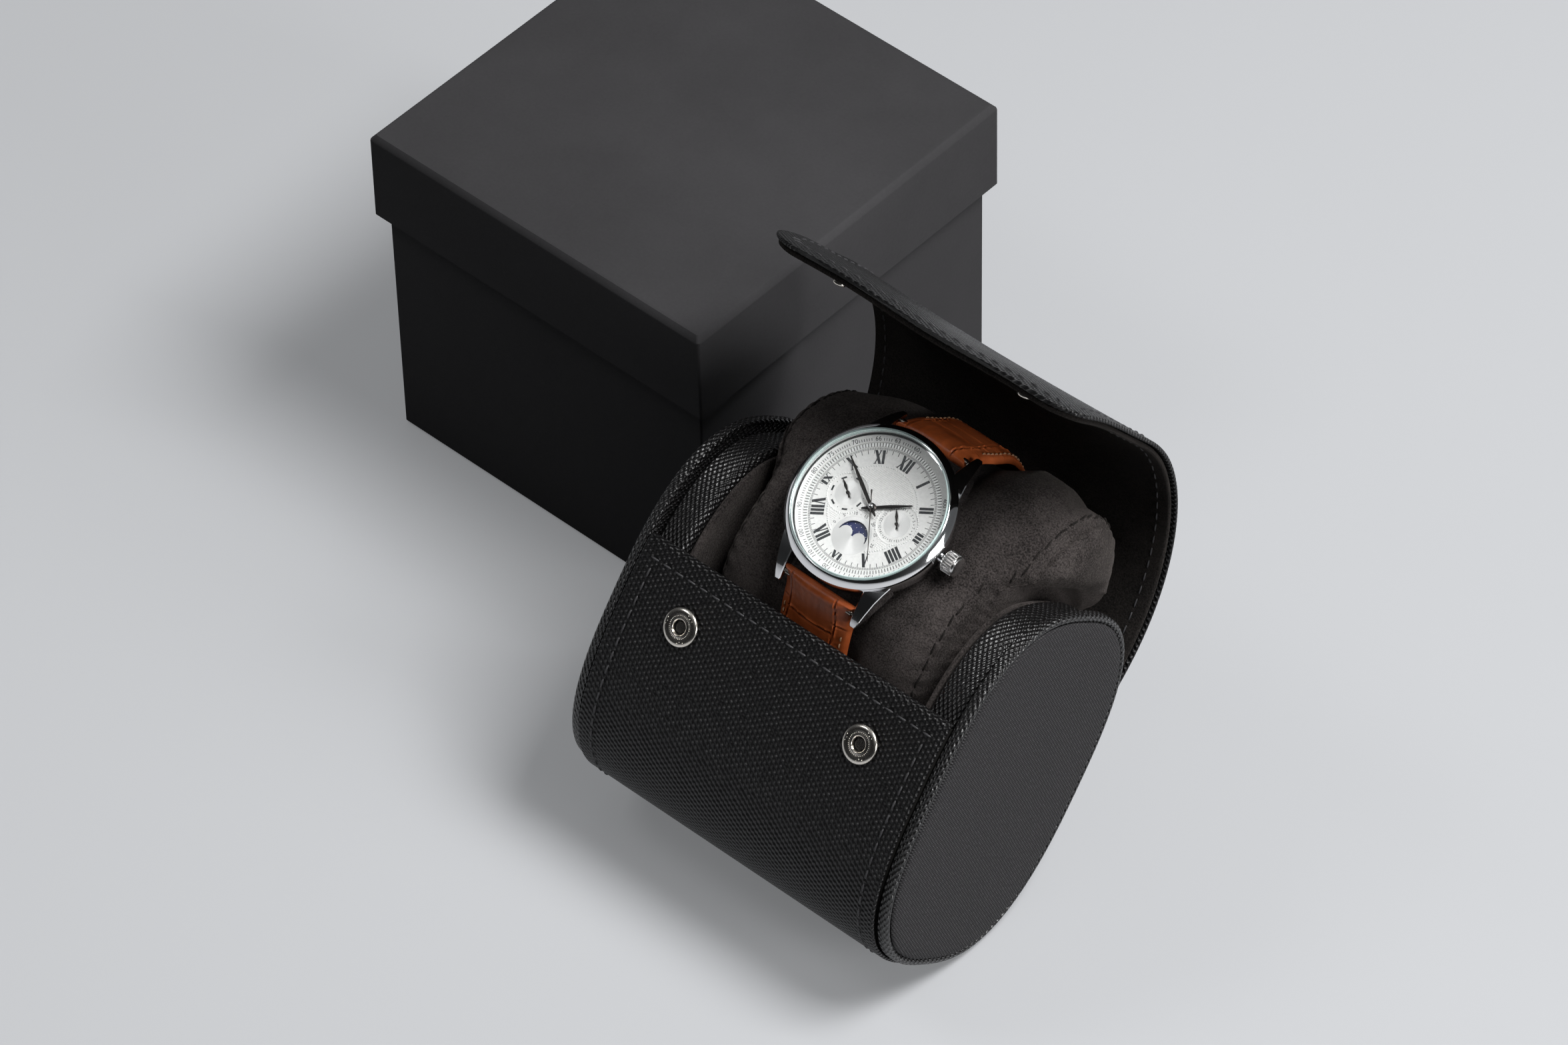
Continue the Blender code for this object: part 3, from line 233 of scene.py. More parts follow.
class Graph:
    """Small helper round the node tree of a new material, or of a world."""

    def __init__(self, name, world=None):
        self.mat = world or bpy.data.materials.new(name)
        self.mat.use_nodes = True
        self.tree = self.mat.node_tree
        self.shader = self.tree.nodes.get("Principled BSDF")
        self.out = self.tree.nodes.get("Material Output")

    def node(self, kind, **values):
        node = self.tree.nodes.new(kind)
        for key, value in values.items():
            if hasattr(node, key) and key not in node.inputs:
                setattr(node, key, value)
            else:
                self.put(node.inputs[key], value)
        return node

    def put(self, socket, value):
        if isinstance(value, bpy.types.NodeSocket):
            self.tree.links.new(value, socket)
        else:
            socket.default_value = value

    def math(self, operation, *values):
        node = self.tree.nodes.new("ShaderNodeMath")
        node.operation = operation
        for socket, value in zip(node.inputs, values):
            self.put(socket, value)
        return node.outputs[0]

    def add(self, a, b):
        return self.math("ADD", a, b)

    def times(self, a, b):
        return self.math("MULTIPLY", a, b)

    def line(self, value, slope, start):
        return self.add(self.times(value, slope), start)

    def mix(self, share, a, b, blend="MIX"):
        node = self.node("ShaderNodeMix", data_type="RGBA", blend_type=blend)
        for place, value in zip((0, 6, 7), (share, a, b)):
            self.put(node.inputs[place], value)
        return node.outputs[2]

    def set(self, **values):
        for key, value in values.items():
            self.put(self.shader.inputs[key.replace("_", " ")], value)

    def uv(self):
        return self.node("ShaderNodeUVMap", uv_map="UVMap").outputs[0]

    def place(self):
        return self.node("ShaderNodeTexCoord").outputs["Object"]

    def split(self, vector):
        node = self.node("ShaderNodeSeparateXYZ")
        self.put(node.inputs[0], vector)
        return node.outputs

    def noise(self, vector, scale, detail=4.0, rough=0.5):
        node = self.node("ShaderNodeTexNoise", Scale=scale, Detail=detail, Roughness=rough)
        self.put(node.inputs["Vector"], vector)
        return node.outputs[0]

    def ramp(self, value, stops):
        node = self.node("ShaderNodeValToRGB")
        self.put(node.inputs[0], value)
        elements = node.color_ramp.elements
        while len(elements) < len(stops):
            elements.new(0.5)
        for element, (place, colour) in zip(elements, stops):
            element.position = place
            element.color = (*colour, 1.0)
        return node.outputs[0]

    def bump(self, height, distance, strength=1.0):
        node = self.node("ShaderNodeBump", Strength=strength, Distance=distance)
        self.put(node.inputs["Height"], height)
        return node.outputs[0]


def scaled(colour, factor, lift=0.0):
    return tuple(c * factor + lift for c in colour)


def lattice(g, vector, pitch, angle):
    """Height of a cross-hatched grain: two crossing rows of ridges that wander a little."""
    x, y, _ = g.split(vector)
    drift = g.times(g.math("SUBTRACT", g.noise(vector, 90.0, 3.0), 0.5), 0.96 * PI)
    heights = []
    for sign in (1, -1):
        a = g.times(x, 2 * PI * math.cos(angle) / pitch)
        b = g.times(y, sign * 2 * PI * math.sin(angle) / pitch)
        heights.append(g.math("COSINE", g.add(g.add(a, b), drift)))
    return g.line(g.add(*heights), 0.25, 0.5)


def saffiano(name, pitch, angle, base, rough, depth, painted_glints, spec=0.16):
    """Cross-grained leather. The tops of its grain are painted paler, a painted highlight standing in for the
    glints of light on them; the argument after depth sets how much paler.
    """
    g = Graph(name)
    uv = g.uv()
    grain = lattice(g, uv, pitch, angle)
    fine = g.noise(uv, 2600.0, 3.0)
    high = g.times(grain, g.line(g.noise(uv, 1150.0, 2.0), 0.9, 0.4))
    # Painted highlight: the colour grows paler towards the grain's tops, for the glints of light on them.
    g.set(Base_Color=g.ramp(high, [(0.30, base), (0.66, scaled(base, 1.6)),
                                   (0.84, scaled(base, 2.0, painted_glints)),
                                   (1.0, scaled(base, 2.0, 1.6 * painted_glints))]))
    g.set(Roughness=g.math("SUBTRACT", rough + 0.14, g.times(high, 0.28)),
          Specular_IOR_Level=spec, Normal=g.bump(g.add(high, g.times(fine, 0.12)), depth))
    return g.mat


def suede(name, base, light, nap):
    g = Graph(name)
    p = g.place()
    fine = g.noise(p, 2400.0, 4.0, 0.7)
    broad = g.noise(p, 70.0, 4.0, 0.6)
    between = tuple((a + b) / 2 for a, b in zip(base, light))
    g.set(Base_Color=g.ramp(g.add(g.times(fine, 0.75), g.times(broad, 0.35)),
                            [(0.44, base), (0.56, between), (0.68, light)]))
    g.set(Roughness=0.95, Specular_IOR_Level=0.12, Sheen_Weight=nap, Sheen_Roughness=0.45,
          Sheen_Tint=(0.75, 0.68, 0.62, 1.0), Normal=g.bump(fine, 0.00035, 0.8))
    return g.mat


def paper(name, base):
    g = Graph(name)
    p = g.place()
    fibre = g.noise(p, 1300.0, 4.0, 0.65)
    cloud = g.noise(p, 26.0, 4.0, 0.6)
    g.set(Base_Color=g.ramp(g.add(g.times(fibre, 0.35), g.times(cloud, 0.65)),
                            [(0.3, scaled(base, 0.86)), (0.7, scaled(base, 1.14))]))
    g.set(Roughness=g.line(cloud, 0.14, 0.62), Specular_IOR_Level=0.06,
          Normal=g.bump(fibre, 0.00005, 0.5))
    return g.mat


def metal(name, colour, rough):
    g = Graph(name)
    p = g.place()
    g.set(Base_Color=(*colour, 1.0), Metallic=1.0,
          Roughness=g.line(g.noise(p, 160.0, 3.0), 0.06, rough))
    g.set(Normal=g.bump(g.noise(p, 1500.0, 2.0), 0.00001, 0.25))
    return g.mat


def thread(name, colour):
    g = Graph(name)
    ply = g.noise(g.place(), 5200.0, 2.0)
    g.set(Base_Color=g.ramp(ply, [(0.3, scaled(colour, 0.6)), (0.7, colour)]), Roughness=0.55,
          Specular_IOR_Level=0.6, Normal=g.bump(ply, 0.0001))
    return g.mat


def crystal_material():
    """Clear glass whose gloss grows towards its edge by Schlick's rule."""
    g = Graph("watch_glass")
    clear = g.node("ShaderNodeBsdfTransparent", Color=(0.993, 0.997, 0.996, 1.0))
    gloss = g.node("ShaderNodeBsdfGlossy", Color=(1.0, 1.0, 1.0, 1.0), Roughness=0.05)
    edge_on = g.node("ShaderNodeLayerWeight", Blend=0.5).outputs["Facing"]
    mix = g.node("ShaderNodeMixShader")
    g.put(mix.inputs[0], g.line(g.math("POWER", edge_on, 5.0), 0.96, 0.04))
    g.put(mix.inputs[1], clear.outputs[0])
    g.put(mix.inputs[2], gloss.outputs[0])
    g.put(g.out.inputs["Surface"], mix.outputs[0])
    return g.mat


def plain(name, colour, rough, metallic=0.0, spec=0.5, grain=900.0):
    g = Graph(name)
    pale = tuple(min(1.0, c) for c in scaled(colour, 1.05))
    cloud = g.noise(g.place(), grain, 3.0)
    g.set(Base_Color=g.ramp(cloud, [(0.3, scaled(colour, 0.93)), (0.7, pale)]),
          Roughness=rough, Metallic=metallic, Specular_IOR_Level=spec)
    return g.mat


def turned_metal():
    """Silver with the circular brushing of a sub-dial, round the object's own Z."""
    g = Graph("turned_silver")
    tangent = g.node("ShaderNodeTangent", direction_type="RADIAL", axis="Z")
    x, y, _ = g.split(g.place())
    radius = g.math("SQRT", g.add(g.times(x, x), g.times(y, y)))
    rings = g.math("COSINE", g.times(radius, 2 * PI / 0.00009))
    g.set(Base_Color=(0.83, 0.825, 0.815, 1.0), Metallic=0.8, Anisotropic=0.75,
          Tangent=tangent.outputs[0])
    g.set(Roughness=g.line(rings, 0.03, 0.33), Normal=g.bump(rings, 0.000004, 0.4))
    return g.mat


def strap_leather(name, painted_groove_light):
    g = Graph(name)
    cloud = g.noise(g.place(), 150.0, 4.0, 0.6)
    fine = g.noise(g.place(), 2200.0, 3.0)
    colour = g.ramp(cloud, [(0.30, (0.365, 0.078, 0.020)), (0.52, (0.540, 0.124, 0.034)),
                            (0.75, (0.700, 0.172, 0.052))])
    if painted_groove_light:
        # Painted shade and highlight: the colour is darkened in the embossed grooves and paled on their raised
        # edges.
        depth = g.node("ShaderNodeAttribute", attribute_name="groove").outputs["Fac"]
        shade = g.ramp(g.line(depth, 0.4, 0.4), [
            (0.16, (1.0, 1.0, 1.0)), (0.36, (0.76, 0.76, 0.76)), (0.44, (0.74, 0.74, 0.74)),
            (0.75, (0.24, 0.20, 0.18))])
        colour = g.mix(1.0, colour, shade, "MULTIPLY")
    g.set(Base_Color=colour, Roughness=g.line(cloud, 0.16, 0.28), Specular_IOR_Level=0.35,
          Normal=g.bump(fine, 0.00006, 0.6))
    return g.mat


MATS = {
    "leather": saffiano("saffiano_leather", 0.00120, math.radians(56), (0.0040, 0.0038, 0.0040), 0.34,
                        0.00044, 0.052, 0.20),
    "band": saffiano("saffiano_band", 0.00105, math.radians(56), (0.0060, 0.0056, 0.0058), 0.24,
                     0.00040, 0.050, 0.50),
    "panel": saffiano("panel_leather", 0.00062, math.radians(60), (0.0190, 0.0182, 0.0192), 0.58,
                      0.00020, 0.026),
    "suede": suede("dark_suede_nap", (0.011, 0.0094, 0.0090), (0.078, 0.067, 0.064), 0.10),
    "lining": suede("lining_suede", (0.005, 0.0046, 0.0044), (0.030, 0.026, 0.024), 0.05),
    "paper": paper("soft_touch_paper", (0.044, 0.043, 0.045)),
    "thread": thread("dark_thread", (0.036, 0.035, 0.038)),
    "nickel": metal("snap_nickel", (0.72, 0.68, 0.62), 0.20),
    # Nickel darkened as painted shade, for the well inside each snap socket and the spring bar ends between strap
    # and lugs.
    "nickel_painted_shade": metal("snap_nickel_painted_shade", (0.22, 0.20, 0.18), 0.22),
    "steel": metal("polished_steel_looks", (0.86, 0.86, 0.87), 0.045),
    "crown": metal("crown_steel", (0.80, 0.79, 0.78), 0.20),
    "glass": crystal_material(),
    # Opaque pale cyan for the crystal's edge: painted light standing in for the light seen through the glass edge.
    "glass_edge_light": plain("glass_edge_painted_light", (0.62, 0.76, 0.74), 0.15, grain=300.0),
    "dial": plain("silver_dial_satin", (0.95, 0.94, 0.925), 0.42, 0.10, grain=1500.0),
    "turning": plain("engine_turning", (0.95, 0.94, 0.925), 0.45, 0.05, grain=1500.0),
    "white": plain("white_lacquer", (0.94, 0.94, 0.93), 0.35, 0.3),
    # Grey for painted shade: the flat ring between the dial's blocks stands in for a shaded groove.
    "grey": plain("painted_groove_shade", (0.24, 0.235, 0.23), 0.45),
    "turned": turned_metal(),
    "navy": plain("moon_navy", (0.010, 0.018, 0.105), 0.22),
    "ink": plain("black_print", (0.012, 0.014, 0.018), 0.25),
    "hand": metal("bronze_black", (0.030, 0.026, 0.024), 0.30),
    "bright": metal("second_hand_metal", (0.10, 0.088, 0.080), 0.25),
    "movement": metal("movement_metal_looks", (0.55, 0.50, 0.40), 0.35),
    "board": plain("dark_board", (0.020, 0.019, 0.018), 0.9, spec=0.1),
    # This strap material carries painted shade in its grooves and a painted highlight on their edges.
    "strap": strap_leather("cognac_leather", True),
    "strap_plain": strap_leather("cognac_leather_plain", False),
    "strap_thread": thread("tan_thread", (0.42, 0.24, 0.13)),
}


# Roll

def signed_power(value, power):
    return math.copysign(abs(value) ** power, value)


def rounded(turn, across, up, power):
    """Point of a rounded oval at a turn counted from its top."""
    return (across * signed_power(math.sin(turn), 2 / power),
            up * signed_power(math.cos(turn), 2 / power))


def rounded_normal(p, across, up, power):
    return Vector((signed_power(p.x / across, power - 1) / across,
                   signed_power(p.y / up, power - 1) / up)).normalized()


def oval(turn, inset=0.0):
    p = Vector(rounded(turn, SHORT, LONG, POWER))
    return p - oval_normal_at(p) * inset


def oval_normal_at(p):
    return rounded_normal(p, SHORT, LONG, POWER)


def even_turns(first, last, steps):
    """Turns that split an arc of the oval into even lengths."""
    fine = [first + (last - first) * i / 900 for i in range(901)]
    points = [oval(t) for t in fine]
    lengths = [0.0]
    for a, b in zip(points, points[1:]):
        lengths.append(lengths[-1] + (b - a).length)
    return [float(np.interp(lengths[-1] * i / steps, lengths, fine)) for i in range(steps + 1)], lengths[-1]


def heading(distance):
    for (start, first), (end, last) in zip(HEADINGS, HEADINGS[1:]):
        if distance <= end:
            break
    return math.radians(first + (last - first) * (distance - start) / (end - start)) + ROLL_LEAN


FOLD = oval(FIRST) - oval_normal_at(oval(FIRST)) * 0.0005
FLAP_STEPS = 524


def flap_points():
    step = FLAP_LENGTH / FLAP_STEPS
    points = [FOLD]
    for i in range(FLAP_STEPS):
        t = heading((i + 0.5) * step)
        points.append(points[-1] + Vector((math.cos(t), math.sin(t))) * step)
    return points


FLAP_PATH = flap_points()


def sag(x, s):
    """How far the flap's upper part droops inward from the CAD's even bend."""
    lengthways = math.exp(-((s - 0.097) / 0.019) ** 2)
    across = 0.0024 + 0.0010 * math.cos((x + 0.008) / 0.036 * PI / 2)
    wave = 0.0003 * math.sin(x * 130.0 + 1.0) * ramp01(s, 0.09, 0.12)
    return across * lengthways * (1 - ramp01(s, 0.122, FLAP_LENGTH)) + wave


def ramp01(value, start, end):
    share = min(1.0, max(0.0, (value - start) / (end - start)))
    return share * share * (3 - 2 * share)


def flap_at(distance):
    place = distance / FLAP_LENGTH * FLAP_STEPS
    i = min(int(place), FLAP_STEPS - 1)
    point = FLAP_PATH[i].lerp(FLAP_PATH[i + 1], place - i)
    t = heading(distance)
    return point, Vector((math.sin(t), -math.cos(t)))


def flap_half(distance, inset=0.0):
    """Half width of the flap at a distance, less near its rounded corners."""
    end = FLAP_LENGTH - inset
    radius = FLAP_CORNER
    into = distance - (end - radius)
    half = HALF_WIDTH - inset
    if into > 0:
        half -= radius - math.sqrt(max(0.0, radius * radius - into * into))
    return half


def sheet_ring(point, normal, half, outer, inner, across=18, bead=4):
    """Closed ring round a layer between two depths under a point, with rounded side edges."""
    radius = abs(inner - outer) / 2
    middle = (inner + outer) / 2
    flat = half - radius
    ring, us = [], []
    for i in range(across + 1):
        x = -flat + 2 * flat * i / across
        p = point - normal * outer
        ring.append((x, p.x, p.y))
        us.append(x)
    u = flat
    for i in range(1, bead + 1):
        t = PI * i / (bead + 1)
        p = point - normal * (middle - radius * math.cos(t))
        ring.append((flat + radius * math.sin(t), p.x, p.y))
        us.append(u + radius * t)
    u += radius * PI
    for i in range(across + 1):
        x = flat - 2 * flat * i / across
        p = point - normal * inner
        ring.append((x, p.x, p.y))
        us.append(u + 2 * flat * i / across)
    u += 2 * flat
    for i in range(1, bead + 1):
        t = PI * i / (bead + 1)
        p = point - normal * (middle + radius * math.cos(t))
        ring.append((-flat - radius * math.sin(t), p.x, p.y))
        us.append(u + radius * t)
    us.append(u + radius * PI)
    return ring, us


def sheet(name, stations, mat, **keep):
    """Layer through stations of (point, normal, half width, outer, inner, distance)."""
    rings, us, vs = [], [], []
    for point, normal, half, outer, inner, distance in stations:
        ring, u = sheet_ring(point, normal, half, outer, inner)
        if distance > 0.045:
            ring = [(x, y - normal.x * sag(x, distance), z - normal.y * sag(x, distance))
                    for x, y, z in ring]
        rings.append([tuple(ROLL @ Vector(p)) for p in ring])
        us.append(u)
        vs.append(distance)
    return new_object(name, loft(name, rings, us, vs), mat, **keep)


COVER_STEPS = 110


def cover_stations(outer, inner, last):
    turns, length = even_turns(FIRST, last, COVER_STEPS)
    out = []
    for i, t in enumerate(turns):
        p = oval(t)
        out.append((p, oval_normal_at(p), HALF_WIDTH, outer, inner, -length * i / COVER_STEPS))
    return out


SKIN_END = 0.020


def blend_path(outer, inner, steps, first, inset=0.0):
    """The flap's first stretch, as far as the skin that runs on from the cover."""
    out = []
    for i in range(steps + 1):
        s = first + (SKIN_END - first) * i / steps
        point, normal = flap_at(s)
        out.append((point, normal, flap_half(s, inset), outer, inner, s))
    return out


def cover_skin():
    """Leather from the turned front edge round the roll, over the fold and up the flap."""
    hem = LAST - math.radians(0.9)
    flap_part = blend_path(-0.0005, 0.0005, 16, 0.0012)
    flap_part.reverse()
    cover = cover_stations(0.0, 0.0010, hem)
    stations = flap_part + cover[2:]
    p = oval(hem)
    n = oval_normal_at(p)
    ahead = Vector((n.y, -n.x))
    if ahead.dot(oval(LAST) - p) < 0:
        ahead = -ahead
    base = stations[-1][5]
    radius = 0.0015
    centre = p - n * radius
    for i in range(1, 9):
        t = PI * i / 8
        normal = n * math.cos(t) + ahead * math.sin(t)
        stations.append((centre + normal * radius, normal, HALF_WIDTH, 0.0, 0.00095,
                         base - radius * t))
    base -= radius * PI
    for i in range(1, 9):
        back = 0.007 * i / 8
        t = hem - back / oval(LAST).length / 0.9
        q = oval(t)
        m = oval_normal_at(q)
        stations.append((q - m * 0.0030, -m, HALF_WIDTH, 0.0, 0.00085, base - back))
    obj = sheet("roll_outer_leather", stations, MATS["leather"],
                replaces=("cover_leather", "flap_base_leather"), slot="black_leather")
    return blend_fold(obj)


def blend_fold(obj):
    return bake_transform(obj)


def blend_bend(obj):
    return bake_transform(obj)


def corner_distances(first, last, steps):
    """Even steps up to the corners, then closer ones round them."""
    knee = last - FLAP_CORNER
    out = [first + (knee - first) * i / steps for i in range(steps + 1)]
    return out + [knee + FLAP_CORNER * math.sin(i / 14 * PI / 2 * 0.985) for i in range(1, 15)]


def flap_skin():
    stations = []
    for s in corner_distances(SKIN_END + 0.00002, FLAP_LENGTH, 90):
        point, normal = flap_at(s)
        stations.append((point, normal, flap_half(s), -0.0005, 0.0005, s))
    obj = sheet("flap_outer_leather", stations, MATS["leather"], replaces=("flap_tip_leather",),
                slot="black_leather")
    return blend_bend(obj)


def lining_skins():
    """Suede inside the roll that runs on over the fold and up the flap."""
    inset = 0.0008
    flap_part = blend_path(0.0008, 0.0020, 12, 0.003, inset)
    flap_part.reverse()
    cover = cover_stations(0.0021, 0.0030, LAST - math.radians(10.5))
    cover = [(p, n, HALF_WIDTH - 0.0004, a, b, d) for p, n, _, a, b, d in cover]
    obj = sheet("roll_suede_lining", flap_part + cover[4:], MATS["lining"],
                replaces=("cover_lining", "flap_base_lining"), slot="dark_suede")
    blend_fold(obj)
    stations = []
    for s in corner_distances(SKIN_END + 0.00002, FLAP_LENGTH - inset, 90):
        point, normal = flap_at(s)
        stations.append((point, normal, flap_half(s, inset), 0.0008, 0.0020, s))
    tip = sheet("flap_suede_lining", stations, MATS["lining"], replaces=("flap_tip_lining",),
                slot="dark_suede")
    blend_bend(tip)


EDGE_ROUND = 0.0056


def oval_disc(name, layers, mat, points=144, flat=False, **keep):
    """Oval slab along X from (x, inset) layers, with a planar texture on its flat faces, or all over."""
    turns, _ = even_turns(0.0, 2 * PI, points)
    turns = turns[:-1]
    rings, us, vs = [], [], []
    v = 0.0
    for k, (x, inset) in enumerate(layers):
        middle = max(0.0, inset - EDGE_ROUND) / SHORT
        ring = [Vector((x, *(oval(t, min(inset, EDGE_ROUND)) * (1 - middle)))) for t in turns]
        if k:
            v += (ring[0] - Vector(rings[-1][0])).length
        rings.append([tuple(p) for p in ring])
        us.append(along(ring))
        vs.append(v)
    verts = [p for ring in rings for p in ring]
    faces, uvs = [], []
    n = len(turns)
    for a in range(len(rings) - 1):
        for i in range(n):
            j = (i + 1) % n
            faces.append((a * n + i, a * n + j, (a + 1) * n + j, (a + 1) * n + i))
            if flat:
                uvs += [(verts[k][1], verts[k][2]) for k in faces[-1]]
                continue
            left, right = us[0][i], us[0][i + 1]
            uvs += [(left, vs[a]), (right, vs[a]), (right, vs[a + 1]), (left, vs[a + 1])]
    for a in (0, len(rings) - 1):
        middle = len(verts)
        verts.append((layers[a][0], 0.0, 0.0))
        for i in range(n):
            j = (i + 1) % n
            faces.append((a * n + i, a * n + j, middle))
            for k in (a * n + i, a * n + j, middle):
                uvs.append((verts[k][1], verts[k][2]))
    return new_object(name, outward(mesh_from(name, verts, faces, uvs)), mat, place=ROLL, **keep)


def roll_end(side, label):
    rim = 0.0033
    lip = rim + 0.0010
    block = [(0.0363, rim + 0.0022), (0.0366, rim + 0.0009), (0.0374, rim + 0.0001), (0.0385, rim),
             (0.0420, rim), (0.0440, rim + 0.0002), (0.0449, rim + 0.0012), (0.0450, rim + 0.0024)]
    lining = [(0.0345, lip + 0.0018), (0.0346, lip + 0.0008), (0.0350, lip + 0.0001), (0.0355, lip),
              (0.0359, lip + 0.0003), (0.0360, lip + 0.0012)]
    edge = [(0.0453, 0.0022), (0.0454, 0.0013), (0.0457, 0.0010), (0.0470, 0.0010), (0.0476, 0.0011),
            (0.0480, 0.0014), (0.0482, 0.0018), (0.0482, 0.0022), (0.0479, 0.0026), (0.0474, 0.0029)]
    panel = [(0.0470, 0.0040), (0.0476, 0.0030), (0.0479, 0.0029), (0.0482, 0.0031), (0.0484, 0.0036)]
    panel += [(0.0484 + 0.0002 * math.sin(i / 11 * PI / 2), 0.0040 + 0.0270 * i / 11)
              for i in range(1, 12)]
    for name, node, layers, mat, slot in (
            ("end_block_looks_", "end_block_", block, "band", "black_leather"),
            ("end_lining_looks_", "end_lining_", lining, "suede", "dark_suede"),
            ("end_panel_edge_", "end_panel_", edge, "band", "black_leather"),
            ("end_panel_looks_", "end_panel_", panel, "panel", "grey_leather")):
        oval_disc(name + label, [(side * x, inset) for x, inset in layers], MATS[mat],
                  flat=mat == "panel", body="base", replaces=(node + label,), slot=slot)


def carried(place, spots):
    """Spots of (middle, direction, normal) moved from a frame's own axes to the world's."""
    turn = place.to_3x3()
    return [(place @ p, turn @ d, turn @ n) for p, d, n in spots]


def stitches(name, spots, length, radius, mat, body=None, slot="black_leather"):
    """Thread stitches: each spot is (middle, direction along, outward normal)."""
    verts, faces = [], []
    stations = [(-0.5, 0.15), (-0.42, 0.75), (-0.2, 1.0), (0.2, 1.0), (0.42, 0.75), (0.5, 0.15)]
    sides = 6
    for middle, direction, normal in spots:
        direction, normal = direction.normalized(), normal.normalized()
        other = direction.cross(normal)
        start = len(verts)
        for t, size in stations:
            sink = radius * (0.9 - 1.1 * (1 - (2 * t) ** 2))
            centre = middle + direction * (t * length) - normal * sink
            for k in range(sides):
                a = 2 * PI * k / sides
                verts.append(centre + normal * (radius * size * math.cos(a))
                             + other * (radius * size * math.sin(a)))
        for row in range(len(stations) - 1):
            for k in range(sides):
                a, b = start + row * sides + k, start + row * sides + (k + 1) % sides
                faces.append((a, b, b + sides, a + sides))
        faces.append(tuple(start + k for k in reversed(range(sides))))
        last = start + (len(stations) - 1) * sides
        faces.append(tuple(last + k for k in range(sides)))
    return new_object(name, outward(mesh_from(name, verts, faces)), mat, body=body, slot=slot)


STITCH_PITCH, STITCH_MARGIN = 0.0036, 0.0042


def roll_stitches():
    edge = HALF_WIDTH - STITCH_MARGIN
    turns, length = even_turns(FIRST, LAST, 900)
    places = []

    def on_cover(distance, x):
        index = min(900, max(0, distance / length * 900))
        i = min(int(index), 899)
        t = turns[i] + (turns[i + 1] - turns[i]) * (index - i)
        p = oval(t)
        n = oval_normal_at(p)
        d = Vector((-n.y, n.x))
        return Vector((x, p.x, p.y)), Vector((0.0, d.x, d.y)), Vector((0.0, n.x, n.y))

    s = 0.012
    while s < length - STITCH_MARGIN - 0.002:
        for x in (-edge, edge):
            places.append(on_cover(s, x))
        s += STITCH_PITCH
    count = int(2 * edge / STITCH_PITCH)
    for i in range(count + 1):
        p, _, n = on_cover(length - STITCH_MARGIN, -edge + 2 * edge * i / count)
        places.append((p, Vector((1, 0, 0)), n))
    stitches("cover_stitches", carried(ROLL, places), 0.0027, 0.00027, MATS["thread"], body="base")


def flap_stitches():
    edge = HALF_WIDTH - STITCH_MARGIN
    top = FLAP_LENGTH - STITCH_MARGIN
    radius = 0.0056
    for label, depth, way in (("outside", -0.0005, 1), ("inside", 0.0020, -1)):
        places = []

        def sew(x, s, across, up):
            point, normal = flap_at(s)
            q = point - normal * (depth + sag(x, s))
            places.append((Vector((x, q.x, q.y)), Vector((across, -normal.y * up, normal.x * up)),
                           Vector((0, normal.x, normal.y)) * way))

        s = SKIN_END + 0.002
        while s < top - 0.006:
            for side in (-1, 1):
                sew(side * edge, s, 0.0, 1.0)
            s += STITCH_PITCH
        for i in range(1, 3):
            t = i / 3 * PI / 2
            for side in (-1, 1):
                sew(side * (edge - radius * (1 - math.cos(t))), top - radius * (1 - math.sin(t)),
                    -side * math.sin(t), -math.cos(t))
        span = 2 * (edge - radius)
        count = int(span / STITCH_PITCH)
        for i in range(count + 1):
            sew(-span / 2 + span * i / count, top, 1.0, 0.0)
        blend_bend(stitches("flap_stitches_" + label, carried(ROLL, places), 0.0027, 0.00024,
                            MATS["thread"]))


# Carton

def rounded_square(half, radius, steps=5):
    points = []
    for quarter in range(4):
        start = quarter * PI / 2
        x = math.copysign(half - radius, math.cos(start + PI / 4))
        y = math.copysign(half - radius, math.sin(start + PI / 4))
        for i in range(steps + 1):
            t = start + i / steps * PI / 2
            points.append((x + radius * math.cos(t), y + radius * math.sin(t)))
    return points


def box_shell(name, sections, **keep):
    rings = [[(x, y, z) for x, y in rounded_square(half, corner)] for half, z, corner in sections]
    us = [along(r) for r in rings]
    return new_object(name, loft(name, rings, us, [z for _, z, _ in sections]), MATS["paper"],
                      slot="black_paper", sharp=30.0, **keep)


def carton():
    half = CARTON_SIDE / 2
    tray = half - BOARD - 0.0005
    rim = CARTON_HEIGHT - BOARD - 0.0003
    low = CARTON_HEIGHT - LID_SKIRT
    box_shell("carton_tray_looks", [
        (tray - 0.0004, 0.0, 0.0004), (tray, 0.0004, 0.0006), (tray, rim - 0.0003, 0.0006),
        (tray - 0.0003, rim, 0.0005), (tray - BOARD + 0.0003, rim, 0.0004),
        (tray - BOARD, rim - 0.0003, 0.0004), (tray - BOARD, BOARD, 0.0004)],
        body="base", replaces=("carton_tray",))
    box_shell("carton_lid_looks", [
        (half - 0.0017, CARTON_HEIGHT, 0.0004), (half - 0.0012, CARTON_HEIGHT - 0.0001, 0.0006),
        (half - 0.0001, CARTON_HEIGHT - 0.0014, 0.0008), (half, CARTON_HEIGHT - 0.0019, 0.0008),
        (half, low + 0.0003, 0.0006), (half - 0.0003, low, 0.0005), (half - BOARD + 0.0003, low, 0.0004),
        (half - BOARD, low + 0.0003, 0.0004), (half - BOARD, CARTON_HEIGHT - BOARD, 0.0004)],
        body="carton_lid", replaces=("carton_lid",))


# Cushion

CUSHION_STOPS = [(0.0, WAIST), (WAIST_HALF, WAIST), (0.0122, 0.0015), (0.0141, 0.00024), (0.0178, 0.0),
                 (0.0212, 0.0), (0.0245, 0.0002), (0.0267, 0.0009), (0.0294, 0.0021), (0.0302, 0.0030),
                 (0.0310, 0.0027), (0.0319, 0.0052), (0.0327, 0.0095), (0.0330, 0.0160)]


